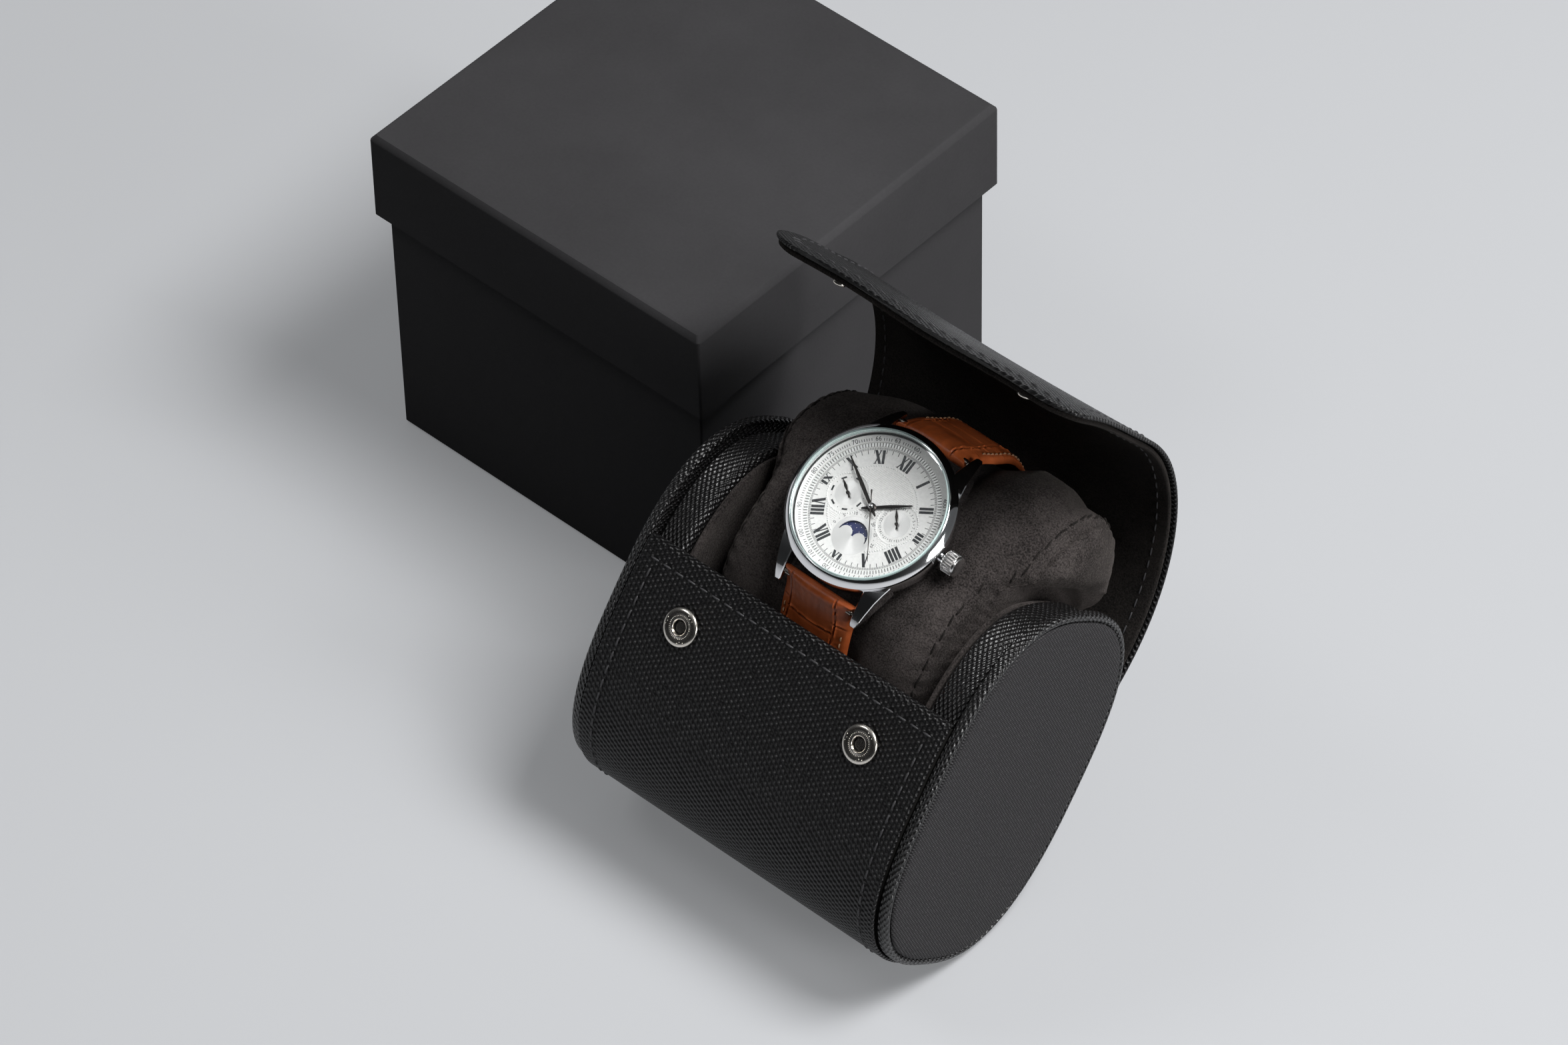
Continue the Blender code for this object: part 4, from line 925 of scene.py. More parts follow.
def cushion_inset(x):
    xs, insets = zip(*CUSHION_STOPS)
    return float(np.interp(abs(x), xs, insets))


def over_rim(x, y, z):
    """How far a place of the cushion's end stands clear of the roll's rims, 0 to 1."""
    q = ROLL.inverted() @ PILLOW @ Vector((x, y, z))
    ratio = ((abs(q.y) / SHORT) ** POWER + (abs(q.z) / LONG) ** POWER) ** (1 / POWER)
    return ramp01(ratio, 0.955, 1.07)


def spread(x, y, z):
    """Swelling of the upper back, where neither the strap nor the roll's ends hold it."""
    back = ramp01(0.75 * y + 0.66 * z, 0.015, 0.027) if x > 0 else 0.0
    beside = ramp01(abs(x), 0.0141, 0.0200)
    beyond = ramp01(abs(x), SEAM_X - 0.0035, CUSHION_END)
    bulge = 0.0100 if x > 0 else 0.0070
    rise = 0.0038 * back * beside * max(0.0, y) / C_LONG
    drop = 0.0035 * ramp01(-x, 0.012, 0.030) * ramp01(y, 0.008, 0.030)
    return x + math.copysign(bulge * over_rim(x, y, z) * beyond, x), y + rise - drop, z


def seam_x(y, z):
    """Where the seam of an end runs, moved out with the swelling."""
    return spread(SEAM_X, y, z)[0]


def cushion_mesh(name, shrink, points=72, rows=44):
    """Pillow that starts a little smaller than the CAD's."""
    places = [CUSHION_END * math.sin(PI / 2 * (2 * i / rows - 1)) for i in range(rows + 1)]
    rings, us = [], []
    for x in places:
        inset = cushion_inset(x) + shrink
        top = C_TOP - shrink + max(0.0, (abs(x) - 0.0178) * 0.3)
        ring = []
        for k in range(points):
            y, z = rounded(2 * PI * k / points, C_LONG - inset, C_THICK - inset, C_POWER)
            ring.append(spread(x * (1 - shrink / CUSHION_END), y, min(z, top)))
        rings.append(ring)
        us.append(along(ring))
    return loft(name, rings, us, places)


def apply_all(obj):
    """Turns an object's modifiers into its mesh."""
    bpy.context.view_layer.update()
    graph = bpy.context.evaluated_depsgraph_get()
    mesh = bpy.data.meshes.new_from_object(obj.evaluated_get(graph))
    obj.modifiers.clear()
    old = obj.data
    obj.data = mesh
    bpy.data.meshes.remove(old)


def puff(obj, voxel, pressure, frames, cap):
    """Even remesh, then a pressure cloth run whose movement is held within cap."""
    remesh = obj.modifiers.new("even", "REMESH")
    remesh.mode = "VOXEL"
    remesh.voxel_size = voxel
    apply_all(obj)
    before = np.array([v.co for v in obj.data.vertices])
    cloth = obj.modifiers.new("puff", "CLOTH")
    cloth.settings.use_pressure = True
    cloth.settings.uniform_pressure_force = pressure
    cloth.settings.quality = 6
    cloth.settings.mass = 0.2
    cloth.settings.tension_stiffness = 22
    cloth.settings.compression_stiffness = 22
    cloth.settings.bending_stiffness = 0.8
    cloth.settings.effector_weights.gravity = 0.0
    cloth.collision_settings.use_collision = False
    cloth.point_cache.frame_start = 1
    cloth.point_cache.frame_end = frames
    scene = bpy.context.scene
    for number in range(1, frames + 1):
        scene.frame_set(number)
    apply_all(obj)
    after = np.array([v.co for v in obj.data.vertices])
    shift = after - before
    size = np.linalg.norm(shift, axis=1, keepdims=True)
    shift *= np.minimum(1.0, cap / np.maximum(size, 1e-9))
    for vert, place in zip(obj.data.vertices, before + shift):
        vert.co = place
    scene.frame_set(1)


def shape_cushion(obj):
    """Seams, creases and the room the watch and strap need, once the mesh is even."""
    for vert in obj.data.vertices:
        p = vert.co.copy()
        x = p.x
        away = math.hypot(p.y, p.z)
        way = Vector((0.0, p.y, p.z)) / max(away, 1e-6)
        ripple = noise.fractal(Vector((x * 55, p.y * 38, p.z * 38)), 0.9, 2.0, 4) * 0.00035
        folds = noise.noise(Vector((x * 30, p.y * 150, p.z * 150)))
        pinch = math.exp(-((abs(x) - 0.0150) / 0.0035) ** 2) * folds * 0.0004
        seam = seam_x(p.y, p.z)
        groove = math.exp(-((abs(x) - seam) / 0.00100) ** 2) * 0.0018
        pucker = math.exp(-((abs(x) - seam) / 0.0045) ** 2) * 0.00022 * math.sin(
            2 * PI * math.atan2(p.y, p.z) * 0.03 / 0.0042)
        p += way * (ripple + pinch + pucker - groove)
        waist = cushion_inset(min(abs(x), SEAM_X - 0.001)) - 0.0003 if abs(x) >= WAIST_HALF else WAIST
        a, b = C_LONG - waist - 0.0001, C_THICK - waist - 0.0001
        f = (abs(p.y) / a) ** C_POWER + (abs(p.z) / b) ** C_POWER
        if f > 1.0:
            k = f ** (-1 / C_POWER)
            p.y *= k
            p.z *= k
        top = C_TOP - 0.0002 + max(0.0, (abs(x) - 0.0190) * 0.35)
        p.z = min(p.z, top)
        limit = 0.0335 + 0.0100 * over_rim(p.x, p.y, p.z)
        p.x = max(-limit, min(limit, p.x))
        vert.co = p


def cushion():
    mesh = cushion_mesh("cushion_looks", 0.0008)
    obj = new_object("cushion_looks", mesh, MATS["suede"], slot="dark_suede")
    puff(obj, 0.0024, 4.0, 18, 0.005)
    even = obj.modifiers.new("even_out", "SMOOTH")
    even.iterations = 16
    even.factor = 0.5
    sub = obj.modifiers.new("smooth", "SUBSURF")
    sub.levels = sub.render_levels = 2
    apply_all(obj)
    shape_cushion(obj)
    obj.data.shade_smooth()
    obj.matrix_world = PILLOW
    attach(obj, "base")
    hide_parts("cushion")
    places = []
    steps = 52
    for side in (-1, 1):
        for k in range(steps):
            y, z = rounded(2 * PI * k / steps, C_LONG, C_THICK, C_POWER)
            _, near, n, _ = obj.closest_point_on_mesh(Vector((side * seam_x(y, z), y, z)))
            places.append((near - n * 0.0001, Vector((0.0, -n.z, n.y)), n))
    stitches("cushion_seam_thread", carried(PILLOW, places), 0.0034, 0.00030, MATS["lining"],
             body="base", slot="dark_suede")


# Watch

def plate(name, outline, holes, low, high):
    """Flat solid with holes of any shape."""
    loops = [[Vector((x, y, 0.0)) for x, y in loop] for loop in [outline] + holes]
    flat = [p for loop in loops for p in loop]
    n = len(flat)
    verts = [(p.x, p.y, high) for p in flat] + [(p.x, p.y, low) for p in flat]
    faces = []
    for t in tessellate_polygon(loops):
        faces += [tuple(t), tuple(n + i for i in reversed(t))]
    start = 0
    for loop in loops:
        for i in range(len(loop)):
            a, b = start + i, start + (i + 1) % len(loop)
            faces.append((a, b, b + n, a + n))
        start += len(loop)
    return outward(mesh_from(name, verts, faces))


def gather(name, items):
    """One mesh from (mesh, matrix) items."""
    verts, faces = [], []
    for mesh, matrix in items:
        start = len(verts)
        verts += [matrix @ v.co for v in mesh.vertices]
        faces += [tuple(start + i for i in p.vertices) for p in mesh.polygons]
    return mesh_from(name, verts, faces)


def part(name, mesh, mat, nodes=(), body="base", slot="silver_dial", sharp=30.0, place=None):
    return new_object(name, mesh, MATS[mat], body=body, place=place or WATCH, replaces=nodes,
                      slot=slot, sharp=sharp)


def spun_part(name, profile, steps, mat, nodes=(), **keep):
    return part(name, spun(name, profile, steps), mat, nodes, **keep)


def disc(radius, low, high):
    return [(0.0, low), (radius, low), (radius, high), (0.0, high)]


def turned(degrees, radius=0.0, height=0.0, spin=0.0):
    """Place on the dial at an angle clockwise from 12, with Y outward."""
    return (Matrix.Rotation(-math.radians(degrees), 4, "Z") @ Matrix.Translation((0.0, radius, height))
            @ Matrix.Rotation(math.radians(spin), 4, "Z"))


def rect(width, length, height, edge=0.0):
    x, y = width / 2, length / 2
    return slab("rect", [(-x, -y), (x, -y), (x, y), (-x, y)], 0.0, height, edge)


def moon_window():
    """Half round window over two round humps."""
    points = [(0.0037 * math.cos(PI * i / 40), 0.0037 * math.sin(PI * i / 40)) for i in range(41)]
    for centre in (-0.00185, 0.00185):
        points += [(centre - 0.0016 * math.cos(PI * i / 20), 0.0016 * math.sin(PI * i / 20))
                   for i in range(21)]
    return points


SUBDIALS = [(-SUB_X, 0.0, SUB_R), (SUB_X, 0.0, SUB_R), (0.0, MOON_Y, SUB_R)]


def off_subdials(x, y, margin):
    return all(math.hypot(x - a, y - b) > r + margin for a, b, r in SUBDIALS)


def bead(radius, sides=10):
    shape = [(0.0, 0.0), (1.0, 0.0), (0.86, 0.45), (0.5, 0.8), (0.0, 0.95)]
    return spun("bead", [(radius * r, radius * z) for r, z in shape], sides)


def bead_ring(radius, count, size, centre=(0.0, 0.0), clear=None):
    one = bead(size)
    items = []
    for i in range(count):
        t = 2 * PI * i / count
        x, y = centre[0] + radius * math.cos(t), centre[1] + radius * math.sin(t)
        if clear is None or off_subdials(x, y, clear):
            items.append((one, Matrix.Translation((x, y, 0.0))))
    return items


def pyramids(pitch, radius, height):
    """Engine-turned middle of the dial: small pyramids in straight rows."""
    verts, faces = [], []
    reach = int(radius / pitch) + 1
    half = pitch * 0.47
    for i in range(-reach, reach + 1):
        for j in range(-reach, reach + 1):
            x, y = i * pitch, j * pitch
            away = math.hypot(x, y)
            if away > radius - half or away < 0.0010 or not off_subdials(x, y, 0.00045):
                continue
            if y > MOON_Y and math.hypot(x, y - MOON_Y) < SUB_R + 0.0013:
                continue
            n = len(verts)
            verts += [(x - half, y - half, 0.0), (x + half, y - half, 0.0),
                      (x + half, y + half, 0.0), (x - half, y + half, 0.0), (x, y, height)]
            faces += [(n, n + 1, n + 4), (n + 1, n + 2, n + 4), (n + 2, n + 3, n + 4), (n + 3, n, n + 4)]
    return mesh_from("pyramids", verts, faces)


def digits(text, height):
    """Thin solid number in Blender's own letter shapes, centred on its origin."""
    curve = bpy.data.curves.new("digits", "FONT")
    curve.body = text
    curve.size = height / 0.70
    curve.align_x, curve.align_y = "CENTER", "CENTER"
    curve.resolution_u = 3
    curve.extrude = INK / 2
    obj = bpy.data.objects.new("digits", curve)
    mesh = bpy.data.meshes.new_from_object(obj)
    bpy.data.objects.remove(obj)
    bpy.data.curves.remove(curve)
    return mesh


ROMAN = {"I": (0.86, [(0, 0, 0.60)], [(0, 1), (0, 0)]),
         "V": (1.60, [(-0.56, 0.02, 0.62), (0.56, 0.02, 0.22)], [(-0.56, 1), (0.56, 1)]),
         "X": (1.70, [(-0.56, 0.56, 0.64), (0.56, -0.56, 0.22)],
               [(-0.56, 1), (0.56, 1), (-0.56, 0), (0.56, 0)])}


def numeral(text, height):
    """Solid strokes of a roman numeral in millimetres, read upright, centred on its origin."""
    mm = 0.001
    x, items = -sum(ROMAN[c][0] for c in text) / 2, []
    for number, letter in enumerate(text):
        advance, strokes, feet = ROMAN[letter]
        middle = x + advance / 2
        for k, (top, bottom, width) in enumerate(strokes):
            w = width / 2
            a, b = middle + top, middle + bottom
            outline = [(b - w, -height / 2), (b + w, -height / 2), (a + w, height / 2), (a - w, height / 2)]
            stroke = slab("stroke", [(u * mm, v * mm) for u, v in outline], 0.0,
                          0.00010 - k * 0.00001, 0.00002)
            items.append((stroke, Matrix()))
        wide = 0.00058 if letter == "I" else 0.00064
        for foot, top in feet:
            v = (height / 2 - 0.07) * (1 if top else -1)
            items.append((rect(wide, 0.00010, 0.00007 - number * 0.000002),
                          Matrix.Translation(((middle + foot) * mm, v * mm, 0.0))))
        x += advance
    return gather("numeral", items)


def dial_ink():
    """Hour numerals, minute lines, the fine hatch, and the numbers of the scales."""
    items = []
    for i, text in enumerate("XII I II III IIII V VI VII VIII IX X XI".split()):
        height, radius = (1.7, 13.3) if i in (3, 6, 9) else (3.1, 12.6) if len(text) == 4 else (3.3, 12.5)
        spin = 180 if 5 <= i <= 8 else 0
        items.append((numeral(text, height), turned(30 * i, radius * 0.001, 0.0, spin)))
    line = rect(0.00013, 0.00090, INK)
    fine = rect(0.00009, 0.00055, INK)
    items += [(line, turned(6 * i, 0.01382)) for i in range(60) if i % 5]
    items += [(fine, turned(i, 0.01455)) for i in range(360)]
    marks = 0.0039
    left, right = (Matrix.Translation((x, 0.0, -SUB_DEEP)) for x in (-SUB_X, SUB_X))
    for i in range(7):
        items.append((rect(0.00130, 0.00042, INK), left @ turned(360 * i / 7, marks)))
        items.append((rect(0.00016, 0.00016, INK), left @ turned(360 * i / 7 + 180 / 7, marks)))
    for i in range(31):
        mark = rect(0.00020, 0.00020, INK) if i % 2 else digits(str(i + 1), 0.00062)
        items.append((mark, right @ turned(360 * i / 31, marks)))
    moon = Matrix.Translation((0.0, MOON_Y, 0.0))
    for i, text in enumerate(("0", "5", "10", "15", "20", "25", "29")):
        items.append((digits(text, 0.00072), moon @ turned(-84 + 28 * i, 0.0054)))
        if i:
            items.append((rect(0.00014, 0.00014, INK), moon @ turned(-98 + 28 * i, 0.0053)))
    part("dial_print", gather("dial_print", items), "ink", slot="dark_hand")


def scale_ink():
    """Numbers and lines of the outer scale on the sloping ring."""
    slope = Matrix.Rotation(math.radians(RING_SLOPE), 4, "X")

    def on_ring(angle, radius):
        return turned(angle, radius, ring_height(radius)) @ slope

    numbers = [400, 300, 200, 150, 120, 110, 100, 90, 80, 75, 70, 66, 63, 60]
    angles = [21600 / n for n in numbers]
    widths = [3.4 if n < 100 else 4.6 for n in numbers]
    items = [(digits(str(n), 0.00104), on_ring(angle, 0.01672)) for n, angle in zip(numbers, angles)]
    line = rect(0.00013, 0.00062, INK)
    for i in range(180):
        angle = i * 2.0
        if 4 < angle < 50 or (i % 2 and angle <= 200):
            continue
        if all(abs((angle - a + 180) % 360 - 180) > w for a, w in zip(angles, widths)):
            items.append((line, on_ring(angle, 0.01662)))
    part("scale_print", gather("scale_print", items), "ink", slot="dark_hand")


RING_IN, RING_OUT, RING_LOW, RING_HIGH = 0.0160, 0.0176, 0.00035, 0.00085
RING_SLOPE = math.degrees(math.atan2(RING_HIGH - RING_LOW, RING_OUT - RING_IN))


def ring_height(radius):
    return RING_LOW + (RING_HIGH - RING_LOW) * (radius - RING_IN) / (RING_OUT - RING_IN)


def dial():
    holes = [circle(0.00085, 24), *[circle(r, 72, (a, b)) for a, b, r in SUBDIALS]]
    face = plate("dial_face", circle(RING_OUT, 180), holes, -0.0004, 0.0)
    part("dial_face", face, "dial", ("watch_dial",))
    part("dial_turning", pyramids(0.00042, 0.0099, 0.00010), "turning")
    beads = bead_ring(0.01035, 112, 0.00021, clear=0.0003)
    for a, b, r in SUBDIALS[:2]:
        beads += bead_ring(r + 0.00022, 56, 0.00018, (a, b))
    part("dial_beads", gather("dial_beads", beads), "white")
    block = rect(0.00044, 0.00092, 0.00016, 0.00004)
    blocks = [(block, turned(2.5 * i, 0.01545)) for i in range(144)]
    part("dial_blocks", gather("dial_blocks", blocks), "white")
    # A flat grey ring under the blocks: painted shade standing in for a groove.
    ring = plate("dial_groove_painted_shade", circle(0.01590, 144), [circle(0.01500, 144)], 0.0, 0.00002)
    part("dial_groove_painted_shade", ring, "grey")
    for (a, b, r), label in zip(SUBDIALS, ("left", "right")):
        centre = WATCH @ Matrix.Translation((a, b, 0.0))
        face = plate("sub_dial", circle(r, 72), [circle(0.00045, 16)], -0.0004, -SUB_DEEP)
        part("sub_dial_" + label, face, "dial", place=centre)
        spun_part("sub_disc_" + label, disc(0.0031, -0.0003, -SUB_DEEP + 0.00002), 72, "turned",
                  place=centre)
    moon = WATCH @ Matrix.Translation((0.0, MOON_Y, 0.0))
    face = plate("moon_dial", circle(SUB_R, 72), [moon_window()], -0.0004, -0.00004)
    part("moon_dial", face, "turned", place=moon)
    spun_part("moon_disc_looks", disc(0.0044, -0.0010, -0.0007), 72, "navy", ("moon_disc",),
              body="moon_disc", slot="moon_disc_blue", place=moon)
    star = spun("star", disc(0.00009, 0.0, 0.00002), 5)
    stars = [(star, turned(137.5 * i, 0.0042 * math.sqrt((i + 0.5) / 44), -0.0007)) for i in range(44)]
    part("moon_stars", gather("moon_stars", stars), "white", body="moon_disc", place=moon)
    dial_ink()
    scale_ink()
    ring = [(RING_IN, RING_LOW - 0.0003), (RING_OUT, RING_LOW - 0.0003), (RING_OUT, RING_HIGH),
            (RING_IN, RING_LOW)]
    spun_part("chapter_ring_looks", ring, 180, "dial", ("chapter_ring",))


def case():
    steel = {"slot": "polished_steel"}
    bezel = [(0.0179, 0.0010), (0.0193, 0.0010), (0.01975, 0.00105), (0.01998, 0.0012), (0.0200, 0.00135)]
    bezel += [(0.0200 - 0.00140 * t, 0.00135 + 0.00160 * t + 0.00016 * math.sin(PI * t))
              for t in (0.06, 0.2, 0.4, 0.6, 0.8, 0.94, 1.0)]
    bezel += [(0.01846, 0.00300), (0.01838, 0.0029), (0.01836, 0.00185), (0.0179, 0.00185)]
    spun_part("bezel_looks", bezel, 240, "steel", ("watch_bezel",), sharp=40.0, **steel)
    side = [(0.0163, -0.0064), (0.0172, -0.0064), (0.0186, -0.0056), (0.01930, -0.0042),
            (0.0195, -0.0028), (0.0195, 0.0003), (0.0193, 0.0006), (0.0190, 0.0007),
            (0.0179, 0.0007), (0.0179, -0.0007), (0.0163, -0.0007)]
    spun_part("case_band", side, 200, "steel", ("watch_case",), sharp=40.0, **steel)
    back = [(0.0, -0.0072), (0.0158, -0.0072), (0.0163, -0.0070), (0.0174, -0.0067),
            (0.0170, -0.00665), (0.0158, -0.00665), (0.0158, -0.0061), (0.0, -0.0061)]
    spun_part("case_back_looks", back, 120, "steel", ("watch_case_back",), **steel)
    for k, (sx, sy) in enumerate(((1, 1), (-1, 1), (-1, -1), (1, -1))):
        part("lug_%d" % (k + 1), lug(sx, sy), "steel", ("watch_case",), sharp=20.0, **steel)
    # The crystal's rim is opaque and pale cyan, painted light in place of light through the glass edge.
    rim = [(0.01784, 0.00215), (0.0181, 0.00215), (0.0181, 0.00302), (0.01806, 0.00312),
           (0.01795, 0.0032), (0.01784, 0.0032)]
    for name, profile, mat in (("crystal_looks", disc(0.01782, 0.00215, 0.0032), "glass"),
                               ("crystal_rim", rim, "glass_edge_light")):
        spun_part(name, profile, 160, mat, ("watch_crystal",), slot="crystal_glass")


# Distance along the lug, its outer side, its underside and its top
LUGS = [(0.0128, 0.01500, -0.0048, -0.0004), (0.0150, 0.01445, -0.0052, -0.0006),
        (0.0176, 0.01370, -0.0056, -0.0014), (0.0205, 0.01285, -0.0061, -0.0030),
        (0.0226, 0.01215, -0.0064, -0.0045), (0.0235, 0.01180, -0.0065, -0.0053),
        (0.0239, 0.01150, -0.0064, -0.0058)]


def lug(side_x, side_y):
    rings = []
    for y, outer, low, high in LUGS:
        b = 0.00024 if y < 0.0237 else 0.0001
        inner = 0.0101 + (0.0003 if y > 0.0237 else 0.0)
        ring = [(inner + b, low), (outer - b, low), (outer, low + b), (outer, high - 3 * b),
                (outer - b * 0.5, high - 2.2 * b), (inner + b, high), (inner, high - b), (inner, low + b)]
        rings.append([(side_x * x, side_y * y, z) for x, z in ring])
    return loft("lug", rings, [along(r) for r in rings], [s[0] for s in LUGS])


# Share of the crown's length, share of its radius, and depth of its flutes
CROWN = [(0.0, 0.72, 0.0), (0.02, 0.86, 0.0), (0.07, 0.95, 0.6), (0.12, 1.0, 1.0), (0.70, 1.0, 1.0),
         (0.76, 0.97, 0.7), (0.78, 0.86, 0.0), (0.82, 0.84, 0.0), (0.84, 0.92, 0.0), (0.92, 0.92, 0.0),
         (0.97, 0.86, 0.0), (0.985, 0.70, 0.0), (1.0, 0.30, 0.0)]


def crown_looks():
    axis = WATCH @ Matrix.Translation((0.0, 0.0, -0.0030)) @ Matrix.Rotation(PI / 2, 4, "Y")
    start, length, radius = 0.0205, 0.0037, 0.00265
    steps = 240
    rings = []
    for place, size, flute in CROWN:
        ring = []
        for i in range(steps):
            t = 2 * PI * i / steps
            r = radius * size - 0.00042 * flute * (0.5 - 0.5 * math.cos(20 * t)) ** 1.5
            ring.append((r * math.cos(t), r * math.sin(t), start + length * place))
        rings.append(ring)
    mesh = loft("crown_looks", rings, [along(r) for r in rings], [r[0][2] for r in rings])
    part("crown_looks", mesh, "crown", ("crown",), "crown", "polished_steel", place=axis)
    tube = [(0.0006, 0.0190), (0.0014, 0.0190), (0.0014, 0.0202), (0.0006, 0.0202)]
    spun_part("crown_tube_looks", tube, 40, "steel", ("watch_case",), slot="polished_steel", place=axis)


def blade(stops, low, ridge):
    """Hand along +Y with a raised middle line, from (distance, half width) stops."""
    rings = []
    for distance, half in stops:
        top = low + 0.00008 + ridge * min(1.0, half / 0.0005)
        rings.append([(-half, distance, low), (half, distance, low), (half, distance, low + 0.00008),
                      (0.0, distance, top), (-half, distance, low + 0.00008)])
    return loft("blade", rings, [along(r) for r in rings], [d for d, _ in stops])


def hub(radius, low, high):
    profile = [(0.0, low), (radius, low), (radius, high - 0.0001), (radius * 0.8, high), (0.0, high)]
    return spun("hub", profile, 40)


def hands():
    """Hands as (distance, half width) stops, each at its own height."""
    hour = [(-0.0024, 0.00018), (-0.0012, 0.00036), (0.0010, 0.00036), (0.0030, 0.00040),
            (0.0044, 0.00042), (0.0092, 0.00016), (0.0095, 0.00004)]
    minute = [(-0.0026, 0.00018), (-0.0012, 0.00036), (0.0010, 0.00036), (0.0036, 0.00042),
              (0.0060, 0.00046), (0.0134, 0.00016), (0.0138, 0.00004)]
    second = [(-0.0040, 0.00018), (-0.0038, 0.00022), (-0.0024, 0.00010), (0.0, 0.00014),
              (0.0080, 0.00010), (0.0132, 0.00007), (0.0134, 0.00003)]
    small = [(-0.0013, 0.00024), (-0.0006, 0.00014), (0.0006, 0.00016), (0.0018, 0.00034),
             (0.0034, 0.00010), (0.0036, 0.00003)]
    plans = [("hour_hand", 0.0, TIME_MINUTES / 2, 0.00105, hour, 0.0006, "hand"),
             ("minute_hand", 0.0, TIME_MINUTES * 6, 0.00095, minute, 0.0011, "hand"),
             ("second_hand", 0.0, SECOND_AT * 6, 0.00062, second, 0.0016, "bright"),
             ("day_hand", -SUB_X, -54.6, 0.00042, small, 0.0002, "hand"),
             ("date_hand", SUB_X, -38.0, 0.00042, small, 0.0002, "hand")]
    for name, x, degrees, radius, stops, height, mat in plans:
        centre = WATCH @ Matrix.Translation((x, 0.0, 0.0)) @ turned(degrees)
        both = [(blade(stops, height, 0.00012), Matrix()),
                (hub(radius, height - 0.00002, height + 0.00030), Matrix())]
        part(name + "_looks", gather(name, both), mat, (name,), name, "dark_hand", 20.0, centre)
    cap = [(0.0, 0.0018), (0.00062, 0.0018), (0.00060, 0.00195), (0.00045, 0.0021),
           (0.0002, 0.00218), (0.0, 0.0022)]
    spun_part("hand_cap", cap, 40, "steel", body="second_hand", slot="polished_steel")


# Strap

STRAP_WIDE, STRAP_NARROW, STRAP_THICK, STRAP_THIN = 0.0195, 0.0176, 0.0034, 0.0022


def facing(frame_place, x, point, normal):
    """Place at a point of a side view, with Z along the normal."""
    return (frame_place @ Matrix.Translation((x, point.x, point.y))
            @ Matrix.Rotation(math.atan2(-normal.x, normal.y), 4, "X"))


def lap(degrees, rise):
    """Place round the cushion's waist, at a height above it."""
    return Vector(rounded(math.radians(degrees), WAIST_LONG + rise, WAIST_THICK + rise, C_POWER))


def strap_line(side, end_turn, rise_at):
    join = 64.0 if side > 0 else 296.0
    start = Vector((DIAL_Y + side * 0.0215, DIAL_Z - 0.0048))
    stop = lap(join, rise_at(join))
    reach = (stop - start).length
    pull = (Vector((0.60, -0.54)) if side > 0 else Vector((-0.26, -0.56))) * reach
    ahead = (lap(join + side * 2, rise_at(join + side * 2)) - stop).normalized() * reach
    points = []
    for i in range(60):
        u = i / 60
        points.append(start * (2 * u ** 3 - 3 * u ** 2 + 1) + pull * (u ** 3 - 2 * u ** 2 + u)
                      + stop * (3 * u ** 2 - 2 * u ** 3) + ahead * (u ** 3 - u ** 2))
    steps = round(abs(end_turn - join) / 1.0)
    for i in range(steps + 1):
        turn = join + (end_turn - join) * i / steps
        points.append(lap(turn, rise_at(turn)))
    return points


RIDGES = (-0.0073, 0.0056)
BANDS = (0.0078, 0.0140, 0.0200, 0.0256, 0.0308, 0.0356, 0.0402, 0.0446, 0.0488, 0.0530, 0.0570,
         0.0610, 0.0650, 0.0690, 0.0730, 0.0770, 0.0810, 0.0850, 0.0890, 0.0930)


def groove(x, s):
    """Depth pattern of the embossed leather: 1 in a groove, below 0 on its raised edge."""
    bow = 0.0011 * (1 - (x / 0.0080) ** 2)
    out = 0.0
    middle = RIDGES[0] < x < RIDGES[1]
    for k, band in enumerate(BANDS):
        at = band + bow if middle else band - 0.0022 + 0.0004 * math.sin(k * 2.3)
        d = s - at
        if abs(d) < 0.002:
            raised = math.exp(-((d + 0.00050) / 0.00022) ** 2)
            out += math.exp(-(d / 0.00020) ** 2) - 0.45 * raised
    for ridge in RIDGES:
        d = x - ridge - 0.0005 * math.sin(s * 260.0)
        raised = math.exp(-((abs(d) - 0.00042) / 0.00018) ** 2)
        out += 0.9 * math.exp(-(d / 0.00018) ** 2) - 0.55 * raised
    return out


def strap_width(share):
    return STRAP_WIDE + (STRAP_NARROW - STRAP_WIDE) * share


def strap_stations(side, points, end_thickness):
    """Stations of (middle, normal, thickness, distance) with rounded ends, then the line's own
    normals and distances."""
    normals, distances = [], [0.0]
    for i in range(len(points)):
        d = points[min(i + 1, len(points) - 1)] - points[max(i - 1, 0)]
        normals.append(Vector((-d.y, d.x)).normalized() * side)
        if i:
            distances.append(distances[-1] + (points[i] - points[i - 1]).length)
    length = distances[-1]
    back = (points[0] - points[1]).normalized()
    stations = []
    for i in range(10, 0, -1):
        t = i / 10 * PI / 2 * 0.98
        stations.append((points[0] + back * (STRAP_THICK / 2) * math.sin(t), normals[0],
                         STRAP_THICK * math.cos(t), -STRAP_THICK / 2 * t))
    for p, n, s in zip(points, normals, distances):
        thick = STRAP_THICK + (STRAP_THIN - STRAP_THICK) * ramp01(s, 0.001, 0.009)
        if end_thickness:
            thick += (end_thickness - STRAP_THIN) * ramp01(s, length - 0.004, length)
        stations.append((p, n, thick, s))
    if end_thickness:
        on = (points[-1] - points[-2]).normalized()
        for i in range(1, 7):
            t = i / 6 * PI / 2 * 0.98
            stations.append((points[-1] + on * end_thickness / 2 * math.sin(t), normals[-1],
                             end_thickness * math.cos(t), length + 0.001 * t))
    return stations, normals, distances


